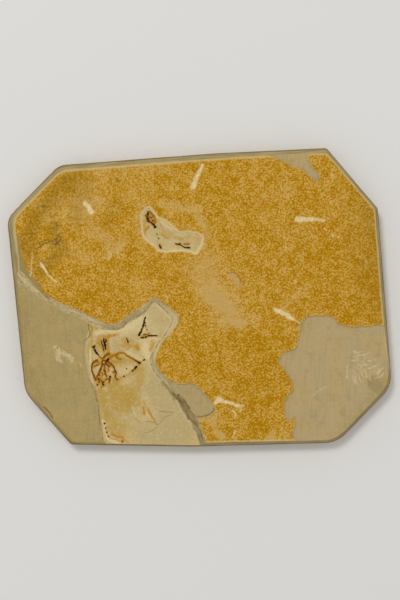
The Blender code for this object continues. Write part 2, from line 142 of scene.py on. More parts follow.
# Marks painted on the stone. Each is its strength, its width at each end, and the points of
# its line.
# On the ochre lamina: bruises left by tools.
PALE = [
    (1, 3, 5.6, (2.3, 85.9), (-0.2, 81.4), (-2.1, 76.8), (-4.1, 71.6)),
    (1, 5.4, 5, (63.2, 50.6), (68, 50.6), (72.8, 50.6)),
    (0.75, 4.6, 3.4, (73, 50.8), (77.2, 50.6), (80.8, 50)),
    (1, 4.4, 5.4, (49.4, -8), (53, -9.8), (57.4, -12)),
    (1, 5, 2.8, (57.4, -12), (61.4, -14.4)),
    (0.8, 1.6, 1.4, (61.4, -14.4), (65.6, -17.2)),
    (1, 3, 6.6, (10.3, -69), (12.9, -66.2)),
    (0.85, 4.6, 4, (12.9, -67), (16.6, -68), (20.7, -68.6), (24.6, -70.6)),
    (0.7, 4.6, 3, (24.6, -70.6), (28.4, -70.6)),
    (0.8, 2, 1.6, (27.4, -72), (26.6, -74.4)),
    (0.85, 1.8, 1.6, (21.6, -73.8), (23.8, -75.6), (23.3, -78.2)),
    (0.6, 1.4, 1.4, (18.6, -72.6), (19.6, -73)),
    (1, 2.2, 2.6, (23.3, -87.2), (22.7, -88.6)),
    (0.8, 1.4, 1.2, (21.7, -90), (21.4, -91)),
    (1, 4.4, 5.4, (-74.4, 60.9), (-71.8, 58.4), (-70.3, 55.6)),
    (0.5, 1.6, 1, (-70, 62), (-64.5, 63.4), (-59.6, 64.2)),
    (1, 2.6, 3, (-103, 21.9), (-101, 18.9), (-99.2, 16)),
    (0.95, 2.4, 1.4, (-98.4, 14.6), (-95.6, 12.2), (-93.1, 10)),
    (0.7, 0.9, 2.4, (-108.5, 29.6), (-108.8, 24), (-109.3, 18.6), (-109.7, 14)),
    (0.6, 2.4, 2, (85.9, 80.4), (86.6, 78.1), (86.5, 76.2)),
    (0.9, 2, 2, (81.4, 44.6), (81.9, 44.4)),
    (0.7, 3, 2.6, (86, 40.6), (87.2, 39.2)),
    (0.6, 1.8, 1.8, (89.8, 39.4), (90.6, 38.8)),
    (0.6, 2, 2, (56.2, 32.2), (56.8, 31.8)),
    (0.6, 3.2, 2.4, (62.6, 11), (62.2, 8.6)),
    (0.6, 2.6, 2.6, (-59.6, 30.6), (-57.2, 27.4), (-59.2, 24.6)),
    (0.5, 1.8, 1.8, (-54, 33), (-52.6, 30.4), (-53.4, 27.6)),
]
# Parts of the ochre lamina that are worn pale and tan.
WORN = [
    (0.55, 40, 42, (2, 20), (10, 6), (18, -8)),
    (0.55, 18, 20, (4, 4), (12, -2), (20, -8)),
    (0.75, 9, 8, (9, 2), (15, -4)),
    (0.9, 5.6, 5, (21.4, 14.6), (24.6, 10), (26, 7.6)),
    (0.8, 6, 5, (24.4, -18.6), (30, -16.6)),
    (0.5, 16, 12, (20, -14), (26, -19)),
    (0.35, 16, 12, (26, -16), (38, -14)),
    (0.35, 16, 16, (20, 16), (26, 8)),
    (0.5, 10, 10, (-38, 60), (-41, 50), (-39, 42)),
    (0.5, 16, 14, (-22, 60), (-8, 58)),
    (0.6, 14, 12, (-4, 57), (0, 50)),
    (0.6, 9, 7, (4, 46), (5, 38), (2, 32)),
    (0.5, 26, 26, (-70, 44), (-60, 38)),
    (0.4, 22, 20, (-76, 56), (-62, 62)),
    (0.35, 44, 40, (-92, 56), (-74, 68)),
    (0.35, 22, 18, (-84, 30), (-72, 24)),
    (0.4, 16, 16, (-56, 30), (-50, 36)),
    (0.35, 26, 26, (-66, 80), (-40, 84), (-20, 84)),
    (0.3, 20, 20, (-48, 68), (-30, 70)),
    (0.3, 16, 16, (48, 44), (72, 42)),
    (0.3, 14, 14, (60, -2), (70, 6)),
    (0.25, 18, 18, (40, 64), (60, 70)),
    (0.25, 16, 16, (-44, 10), (-30, 8)),
    (0.95, 6, 7, (10.3, -78.2), (9.8, -83.4)),
    (0.95, 7, 8.6, (10.6, -87), (15, -90.6)),
    (0.8, 5.4, 5, (-1, -80), (8.6, -80)),
    (0.9, 9, 7, (46, -91.4), (48.6, -88.4)),
    (0.6, 4, 4, (34, -94), (58, -93.4)),
    (0.6, 3.6, 3.6, (38.6, -88), (39.4, -88.4)),
    (0.5, 3.6, 3.6, (48.6, -68), (49.4, -68.4)),
    (0.5, 3, 3, (26.6, -57), (27.4, -57.2)),
]
# Richer orange parts of the ochre lamina.
DEEP = [
    (0.6, 60, 80, (84, 30), (100, 0), (96, -8)),
    (0.5, 60, 60, (40, -36), (30, -60)),
    (0.6, 44, 50, (46, -50), (34, -84)),
    (0.5, 30, 30, (-74, 2), (-52, -6)),
    (0.4, 26, 26, (-6, -26), (0, -44)),
    (0.35, 30, 20, (10, 70), (40, 60)),
]
# Darker, browner parts of the ochre lamina near its left end.
BROWNER = [
    (0.9, 18, 22, (-84, 78), (-106, 52), (-112, 30)),
    (0.8, 16, 14, (-96, 44), (-90, 30), (-104, 16)),
    (0.5, 24, 20, (-76, 76), (-80, 50)),
    (0.3, 18, 18, (-60, 50), (-54, 60)),
    (0.6, 20, 22, (112, 58), (120, 10), (122, -14)),
    (0.3, 40, 40, (104, 60), (112, 0)),
]
# Ground down to the pale rock below, where the wall runs out into the left bevel.
BARE = [
    (1, 2.4, 6, (-118.6, 40), (-117, 27), (-115.4, 20)),
    (1, 6, 9, (-116, 20), (-113, 15), (-108, 8)),
    (1, 5, 3, (-108.6, 9.6), (-103.6, 5.8)),
]
# Grey to brown squiggles of old burrows and stains.
SMUDGE = [
    (1, 1.6, 1.4, (-90.9, 40.8), (-92.5, 38.5), (-93.6, 37)),
    (0.9, 1.2, 1.2, (-95.1, 36.5), (-97.4, 36.2), (-99.4, 35.2), (-102.9, 33.3), (-105.5, 31.3)),
    (0.7, 1, 1, (-89.9, 38.5), (-91.8, 35.9), (-94.4, 34.3), (-97.7, 35.2)),
    (0.7, 1, 1, (-97.7, 37.4), (-100.9, 36.6), (-104.2, 34.9)),
    (0.35, 6, 4, (-89, 36), (-99, 31)),
    (0.6, 1.4, 1.4, (18.7, 15.7), (22.6, 16.1), (25.5, 13.8), (26.8, 10.5), (26.5, 7.9)),
    (0.6, 1.2, 1.2, (-52.6, 77), (-51.4, 75.8), (-52.6, 74.6), (-54, 75.6), (-52.6, 77)),
    (0.6, 3.4, 3.4, (-101.2, 59.2), (-100.6, 58.8)),
    (0.5, 4.4, 3.4, (-97, 52.6), (-94, 53)),
    (0.6, 4, 4, (-93, 47.4), (-92, 46.8)),
    (0.4, 2.2, 2.2, (-68.6, 50.2), (-66.8, 51.4)),
    (0.45, 3.6, 3.6, (-11.4, 61.6), (-10.4, 60)),
    (0.45, 3.6, 3, (-11.6, 44.6), (-10.6, 42.8)),
    (0.4, 3.4, 3.4, (-18, 64), (-17, 62)),
    (0.35, 2.4, 2.4, (90.4, 36.4), (91.6, 35.4)),
    (0.35, 2.4, 2.4, (28.4, -55), (30, -55.6)),
]
# On the grey stone: fresh scratches.
SCRATCH = [
    (1, 1.3, 1, (96.1, -44.1), (96.2, -48.2), (95.9, -52.4)),
    (0.8, 1.1, 0.9, (73.9, -64), (78, -60.6), (82.2, -58.2)),
    (0.8, 1.4, 1.6, (99.6, -51.2), (101.5, -56.1)),
    (0.9, 1.4, 1.2, (99.1, -41.2), (103.2, -40.8)),
    (0.9, 1.3, 1.3, (104.5, -44.9), (108.2, -43.7)),
    (0.7, 1.2, 1.2, (103.1, -37.9), (106.5, -37.5)),
    (0.6, 3.4, 3, (107.3, -37.9), (110.6, -35.8)),
    (0.9, 1.8, 1.5, (109.8, -41.6), (112.3, -40.8)),
    (0.8, 1.2, 1.2, (109.8, -46.2), (112.6, -45.6), (115.6, -44.1)),
    (1, 1, 1, (116, -49.9), (119, -46.2)),
    (1, 1, 1, (117.7, -52), (120.2, -49.1)),
    (0.7, 1.2, 1, (110.6, -50.8), (111.5, -54.1)),
    (0.7, 1.2, 1.2, (114, -52.8), (116.5, -52.4)),
    (0.5, 1.4, 1.2, (104.8, -48.6), (106.5, -50.8)),
    (0.6, 1.2, 1.2, (100.2, -38.6), (103, -39)),
    (0.6, 1, 1, (108, -40.2), (110, -39.2)),
    (0.3, 16, 16, (102, -39), (112, -46)),
    (0.2, 14, 12, (99, -52), (118, -48)),
    (0.8, 1.2, 1, (101, -36.6), (105.6, -35.4)),
    (0.8, 1.2, 1, (104.2, -46.6), (108.4, -49.4)),
    (0.8, 1.2, 1, (101.4, -52.6), (103, -57)),
    (0.8, 1.2, 1, (103.6, -50.6), (105.4, -55.6)),
    (0.3, 5, 4, (-118.4, 18), (-113.4, 9.6)),
    (0.8, 1.1, 0.9, (-118.2, 15.6), (-112, 7), (-106, 3.4)),
    (0.8, 1, 0.8, (-117, 18.8), (-111.6, 11.8), (-108.6, 9.8)),
    (0.7, 1, 0.8, (-118.6, 10.4), (-116.6, 6.6), (-113.8, 4.4)),
    (0.7, 1, 0.8, (100.6, -44.6), (104.2, -47.4)),
    (0.7, 1, 0.8, (103, -43.6), (106.6, -46.4)),
    (0.7, 1, 0.8, (106, -42.4), (109.6, -44.6)),
    (0.7, 0.9, 0.8, (105.2, -47.2), (106.4, -52)),
    (0.7, 0.9, 0.8, (107.6, -46.8), (108.8, -51.6)),
    (0.7, 0.9, 0.8, (111.8, -38.4), (114.6, -41)),
    (0.7, 0.9, 0.8, (99, -35.8), (101.8, -34.6)),
    (0.7, 0.9, 0.8, (113.6, -44.8), (117.6, -43.2)),
    (0.6, 0.9, 0.8, (100.4, -47.6), (101.6, -50.6)),
    (0.9, 0.9, 1.4, (120.6, -19.4), (121.2, -30.8)),
    (1, 1.8, 1.6, (121.2, -30.8), (122.3, -37.1), (123.7, -47)),
    (0.9, 2.2, 2, (-94.9, -32.8), (-93, -31.4)),
    (0.9, 1.8, 1.8, (-91.1, -33), (-91.1, -36.3)),
    (0.8, 2, 1.6, (-88.8, -35.8), (-88, -35.2)),
    (0.75, 2.4, 3.6, (-91.1, -36.2), (-87.6, -37.4), (-84.9, -37.8)),
    (0.65, 3.2, 2.6, (-84.9, -37.8), (-82.2, -39.9), (-83.2, -42.6)),
    (0.7, 0.9, 0.9, (-95.4, -31), (-92.6, -34.4), (-90.8, -39.6)),
    (0.7, 0.9, 0.9, (-89.4, -34.2), (-86.2, -36.6), (-83.6, -41.6)),
    (0.9, 1.8, 1.8, (-92.9, -39.4), (-92.5, -41)),
    (0.9, 1.8, 1.8, (-90.7, -41.1), (-89.6, -42)),
    (0.5, 6, 6, (-92, -35.6), (-91.6, -41)),
    (0.4, 12, 10, (-92, -36), (-84, -41)),
    (0.8, 1.6, 1.6, (-77.9, -42.6), (-76.8, -44.9)),
    (0.6, 1.4, 1.4, (-99.4, -30.4), (-99, -31.4)),
    (0.6, 1.4, 1.2, (-84, -46.2), (-83, -46.8)),
]
# Dark mottles on the grey stone.
MOTTLE = [
    (0.8, 4, 4, (-118.8, 28), (-118, 14)),
    (0.7, 2.4, 2, (114, -57.4), (116.5, -59)),
    (0.6, 2, 2, (110, -58.8), (110.6, -59.2)),
    (0.6, 1.6, 1.4, (116.4, -51.6), (119, -48.4)),
    (0.5, 2, 1.8, (103.2, -47), (104.8, -48.2)),
    (0.5, 2, 1.8, (112.6, -46.8), (113.6, -47)),
    (0.6, 2.2, 1.8, (94.9, -39), (97.8, -40.8)),
    (0.7, 1.4, 1.2, (69, -48), (70.6, -47.8), (72.3, -49.5)),
    (0.35, 1.4, 1.4, (84, -42.4), (88, -41), (91.6, -43)),
    (0.75, 11, 12, (112, -54), (117, -59)),
    (0.45, 34, 30, (116, -62), (98, -86)),
    (0.6, 3, 3, (-115.8, 6), (-114.6, 3.6)),
    (0.5, 2, 1.6, (-91.6, -44.4), (-88.4, -45.4)),
    (0.35, 1.4, 1.2, (-117, -36.4), (-106, -37), (-97, -36)),
    (0.5, 18, 18, (-117, -4), (-114, -40), (-104, -66)),
    (0.3, 8, 8, (60, -28), (62, -40)),
]
# On the fossil lamina, and thin lines in the grey stone: golden stain.
GOLD = [
    (0.8, 34, 34, (-54.8, -60.6), (-48.9, -66.8)),
    (0.3, 26, 24, (-61, -34), (-52, -45)),
    (0.35, 7, 6, (-8, 37), (1, 34.6)),
    (0.62, 16, 22, (-38.5, -51.2), (-42.4, -65.5)),
    (0.7, 8, 9, (-64.8, -58.1), (-61, -77.2)),
    (0.6, 20, 16, (-58, -79.8), (-52.4, -88.6)),
    (0.4, 16, 16, (-50, -84), (-42, -88)),
    (0.95, 4.2, 3, (-61.6, -25.5), (-55.4, -24.6)),
    (0.6, 8, 8, (-66.5, -28.5), (-65.8, -35)),
    (0.8, 3.4, 3, (-70.1, -18.1), (-70.5, -31.7)),
    (0.55, 2.6, 2.6, (-70.1, -33), (-69.7, -41.5)),
    (0.5, 12, 10, (-47.6, -30.4), (-42.4, -32.4)),
    (0.8, 4, 4, (-40.7, -31.7), (-39.5, -33.7)),
    (0.75, 5, 4.4, (-30.8, -28.5), (-32, -34.3)),
    (0.9, 2.6, 2.3, (-36.9, -25.6), (-33.7, -25.2)),
    (0.7, 1.6, 1.6, (-37.8, -23.9), (-35.4, -17.4)),
    (0.6, 8, 9, (-56.4, -55.1), (-38.5, -46)),
    (0.65, 16, 14, (-53, -40.4), (-45.3, -41.1)),
    (0.6, 5, 5, (-69.7, -17.6), (-66.5, -21)),
    (0.4, 7, 7, (-52.8, -31.7), (-51.5, -35.6)),
    (0.5, 7, 7, (-63.4, -33), (-60.6, -40)),
    (0.45, 6, 5, (-62.6, -46), (-60, -51)),
    (0.9, 2, 2, (-45.6, -72), (-46.4, -67.6)),
    (0.7, 2, 2, (-33.6, -71), (-31.6, -76), (-28.6, -81)),
    (0.5, 8, 10, (-29, 47), (-19, 39)),
    (0.8, 4, 4, (-35.8, 49.6), (-35, 41)),
    (0.5, 5, 4, (-15, 37.6), (-8, 39)),
    (0.5, 5, 5, (-6, 40), (-1.6, 38.4)),
    (0.7, 1.2, 1.2, (-115.9, 4.7), (-114.6, -18), (-112.6, -40.8), (-110.2, -58)),
    (0.8, 1.2, 1.2, (-110.2, -58), (-107.4, -64.4), (-101, -71.6), (-95.7, -78.6)),
    (0.8, 1.2, 1.2, (-95.7, -78.6), (-89, -86.6), (-83, -93.2), (-74, -94)),
    (0.8, 3.2, 3, (121.2, -53.8), (123.4, -57)),
    (0.8, 1.4, 1.4, (-82, -45.4), (-79.5, -45.4)),
]
# Cream bleached halo.
HALO = [
    (0.32, 16, 14, (-36, -13), (-30, -22)),
    (1, 5.2, 5.9, (-66.5, -23.4), (-61.9, -21.8), (-52.8, -21.4), (-45, -18.7), (-38.5, -14.1)),
    (0.6, 10, 12, (-50, -24), (-40, -19)),
    (1, 12, 14, (-34.6, -31.4), (-34, -37.9)),
    (0.6, 7, 6, (-29.4, -25.9), (-31.4, -30.4)),
    (0.8, 3, 3, (-71, -34.3), (-71, -46), (-69.7, -56.4)),
    (0.45, 16, 18, (-63.9, -44.7), (-60, -50.9)),
    (0.45, 6, 5, (-66.5, -57.7), (-60.6, -60.3)),
    (1, 3.6, 4.8, (-62.9, -80.5), (-61, -87), (-59.3, -92.8), (-52.8, -95.2)),
    (0.6, 7, 6, (-37.9, -22), (-34.6, -12.9)),
    (0.6, 5, 5, (-38.5, -28.1), (-27.5, -27.2)),
    (0.6, 10, 7, (-46.7, -36.9), (-37.9, -40.8)),
    (0.35, 12, 12, (-52.5, -46.7), (-44.4, -44.1)),
    (0.5, 12, 12, (-63.6, -34.9), (-58.3, -40.8)),
    (0.5, 8, 8, (-50, -50), (-44, -46.6)),
    (0.8, 1.8, 1.6, (-71.6, -16.6), (-67, -18.6), (-62, -22.6)),
    (0.9, 1.6, 1.4, (-27.4, -5.2), (-22.8, -9.6), (-18.8, -14.2)),
    (0.4, 3.6, 3.6, (-34.6, 42), (-29, 34), (-20, 31.6), (-8, 31.4)),
    (0.6, 4, 4, (-26, 49), (-18, 44.4)),
    (0.7, 2, 2, (-43.4, -71.4), (-42, -76.4)),
    (0.7, 1.6, 1.6, (-35, -73), (-33.6, -77.4)),
]
# Plain beige matrix that no stain has reached.
BUFF = [
    (0.5, 8, 9, (-55.4, -28.6), (-54.6, -33.4)),
    (0.4, 9, 9, (-58, -74), (-54.8, -75.3)),
    (0.5, 10, 9, (-42.1, -73.6), (-38.2, -75.9)),
    (1, 26, 40, (-25.2, -53.1), (-15.5, -82.6)),
    (1, 24, 24, (-36, -90.6), (-14, -92.5)),
    (0.35, 14, 20, (-30.7, -7), (-24.9, -18.5)),
    (0.6, 12, 12, (-33, -58.6), (-27.8, -66.4)),
    (0.5, 10, 10, (-47, -78), (-44, -84)),
]
# Orange to brown mineral stain too thin to stand up from the stone.
RUST = [
    (0.58, 6, 5, (-30.6, -29), (-31.6, -35)),
    (0.55, 9, 8, (-63.4, -27.4), (-60.4, -37.4)),
    (0.42, 8, 7, (-49, -27.4), (-41, -31.4)),
    (0.5, 3, 3, (-60, -26), (-52.6, -24.4)),
    (0.36, 6, 5, (-57, -43.6), (-50, -45.6)),
    (0.4, 2.4, 2.4, (-38.6, -38), (-37.8, -38.8)),
    (0.36, 4, 3.6, (-44, -39.4), (-38.6, -43)),
    (0.75, 2.4, 1.8, (-59.6, -26.7), (-59.3, -32.1), (-59.2, -35.9)),
    (0.8, 1.2, 1.2, (-65.2, -29.4), (-64.2, -32.9)),
    (0.8, 1.8, 1.6, (-66.9, -29.6), (-65.6, -30.4)),
    (1, 1.3, 1.3, (-36.9, -25.5), (-34, -25.2)),
    (1, 3, 1.8, (-59.5, -26.4), (-58.2, -25)),
    (0.8, 2, 1.6, (-55.8, -24.7), (-54.9, -24.2)),
    (0.75, 1, 1, (-65.5, -38), (-63.1, -40.2)),
    (0.8, 1.6, 1.6, (-46.9, -30.2), (-46.6, -31)),
    (0.6, 1.6, 1.4, (-44.8, -28.3), (-43.8, -28.4)),
    (0.6, 3.4, 3, (-41.3, -32.2), (-39.4, -33.9)),
    (0.6, 1.8, 1.8, (-45.2, -31.6), (-43.9, -32.4)),
    (0.7, 1.6, 2.2, (-50.4, -31.2), (-48.8, -32.7)),
    (0.7, 2, 2, (-47.6, -34.3), (-46, -33.3)),
    (0.5, 1, 1, (-50.5, -27.2), (-50.3, -31.7)),
    (0.5, 1, 1, (-48.9, -27.5), (-48.6, -32)),
    (1, 2, 1.6, (-57.6, -40.5), (-56.1, -41.9), (-53.6, -42.4)),
    (0.7, 1.4, 1.2, (-52.6, -41.6), (-50.6, -42.1)),
    (0.6, 1.7, 1.6, (-44.7, -41.7), (-43.7, -42.1)),
    (0.55, 0.8, 0.8, (-43.2, -43), (-42.1, -43.3), (-42.1, -44.3), (-43.2, -44.2), (-43.2, -43)),
    (0.6, 1, 1, (-39.3, -43.2), (-40.9, -44.9)),
    (0.6, 1, 1, (-44.5, -48.3), (-46.3, -50.2), (-49.3, -51.6), (-53, -54)),
    (0.7, 0.9, 0.9, (-60.3, -48.5), (-59.5, -48.1), (-59, -48.9), (-59.6, -49.5), (-60.3, -49)),
    (0.8, 1.5, 1.5, (-63.8, -52.8), (-62.8, -53.1)),
    (0.5, 1, 0.9, (-54.7, -53.2), (-54.8, -55.1), (-54, -56.8)),
    (0.5, 1, 0.9, (-52.5, -54.5), (-51.3, -52.3)),
    (0.5, 1.5, 1.5, (-56.7, -50.8), (-56, -50.3)),
    (0.9, 2.6, 2.2, (-36.3, -72), (-35.8, -76.3)),
    (0.85, 2, 1.8, (-34, -73.3), (-31.4, -77), (-28.8, -81.1)),
    (0.6, 1.6, 1.6, (-36.2, -67.5), (-34.6, -72)),
    (0.45, 3.6, 3.6, (-58.8, -84.6), (-57.2, -88.2)),
    (0.85, 3.6, 3, (-56.6, -89.4), (-53, -91.4)),
    (0.9, 3.2, 3, (-51.6, -90.8), (-49.6, -91.8)),
    (0.8, 1.6, 1.4, (-56.2, -92.5), (-54, -92.9), (-52, -94)),
    (0.6, 2.6, 2.4, (-48.8, -93), (-46.2, -94.4)),
    (0.9, 1.4, 1.4, (-61, -86.4), (-60.5, -87)),
    (0.8, 1.4, 1.4, (-59.9, -89.2), (-59.4, -89.7)),
    (0.8, 1.4, 1.4, (-58.6, -91.6), (-58, -92.3)),
    (0.5, 2.6, 2.6, (-41.1, -79.2), (-38.5, -81.8)),
    (0.4, 1.2, 1.2, (-60.4, -62), (-61, -68)),
    (0.9, 1.8, 1.2, (-34.6, 52.4), (-35.6, 50.6)),
    (1, 2.8, 1.8, (-33.2, 45.8), (-35.4, 43.2)),
    (1, 2.2, 0.8, (-32.9, 46.2), (-34.6, 44)),
    (0.6, 2.4, 2.2, (-26.8, 50), (-24.6, 46), (-22.6, 42.8)),
    (0.8, 2.2, 2.2, (-24.4, 40.8), (-21, 38.4)),
    (0.6, 3, 2.6, (-34.4, 54.4), (-34.2, 50)),
    (0.9, 1.6, 1.4, (-25.2, 34.4), (-24, 32.4)),
    (0.9, 1.4, 1.4, (-10, 34.6), (-6.2, 34.7)),
    (0.5, 3.6, 3.4, (-16.2, 39.2), (-11, 37.4)),
    (0.5, 1.6, 1.6, (0.4, 38.2), (0.8, 36.4)),
    (0.8, 5, 5, (-31.6, 54), (-29.4, 48.6)),
]
# Dark brown seams, mostly along the low step.
SEAM = [
    (0.9, 1, 0.9, (-71.9, -18), (-71.8, -20.7), (-71.3, -24.8), (-72.6, -26.6), (-74, -27.6)),
    (0.7, 0.8, 0.8, (-70.3, -17.8), (-69.9, -21), (-71.2, -25.2)),
    (0.8, 1.6, 1.2, (-67.4, -19.4), (-66.3, -20.6)),
    (0.5, 0.8, 0.8, (-72, -28.5), (-72.2, -35.6), (-72.1, -42.1)),
    (0.7, 0.9, 0.9, (-67.9, -58), (-66.8, -63.6), (-65.5, -70.1)),
    (0.7, 0.9, 0.9, (-65.5, -70.1), (-64.9, -77.9), (-63.9, -85.7), (-62.6, -92.2)),
    (0.5, 0.8, 0.8, (-70, -55.8), (-68.1, -61.9), (-66.8, -68.1)),
    (0.8, 1.4, 1.2, (-101, -71.4), (-97.6, -75), (-95.4, -78.8)),
    (0.3, 1.6, 1.2, (-60.2, -78.6), (-59.4, -75.8), (-56.6, -73.6), (-52.6, -71.2)),
]
# Painted shade on the carved wall, with dark streaks of the layers it cuts. The same marks
# paint a shadow on the fossil lamina along the wall's foot.
SHADED = [
    (1, 6.6, 6.8, (-11.8, -66.6), (-5.6, -77)),
    (0.6, 6.4, 6.4, (-4.8, -78.4), (2.6, -94)),
    (0.6, 4, 5, (-23.6, -55.6), (-15.4, -65.4)),
    (1, 3.4, 3.2, (-13.4, -64.2), (-12.2, -66.2)),
    (1, 3.2, 3.4, (-8.2, -70.4), (-6.8, -72.6)),
    (0.2, 3, 3, (-98, -3), (-80, -11.6), (-70, -16.4)),
    (0.5, 3, 3, (-112.6, 13.6), (-103.5, 4.7), (-98, -1)),
]
# Fine open cracks, cut into the mesh as narrow grooves.
CRACKS = [
    (0.8, 0.8, 0.7, (-25.8, -74.6), (-21.6, -74.8), (-17.2, -75.5)),
    (0.7, 0.8, 0.7, (-18.3, -76.7), (-22.3, -78.3), (-25.5, -82), (-26.8, -83.1)),
    (0.9, 0.9, 0.8, (-26.8, -82.9), (-30.7, -81.4), (-35, -81.3)),
    (0.7, 0.8, 0.7, (-27.4, -84.6), (-31.4, -87.4), (-35.5, -88.5)),
    (0.4, 0.8, 0.7, (-38.5, -85), (-34.6, -84.5)),
    (0.35, 0.8, 0.8, (-60.3, -78.1), (-57.4, -72.9), (-53.1, -71.4)),
    (0.45, 0.8, 0.7, (-45, -75.3), (-42.4, -73.2)),
    (0.5, 0.8, 0.8, (-35.7, -88.8), (-37.2, -91.8)),
    (0.8, 0.8, 0.7, (46.6, 90.4), (48.2, 93.2), (49.2, 95)),
    (0.8, 0.7, 0.7, (-5.8, -77.9), (-1, -78.1), (4, -77.4), (8.4, -75), (9.6, -72.4)),
]
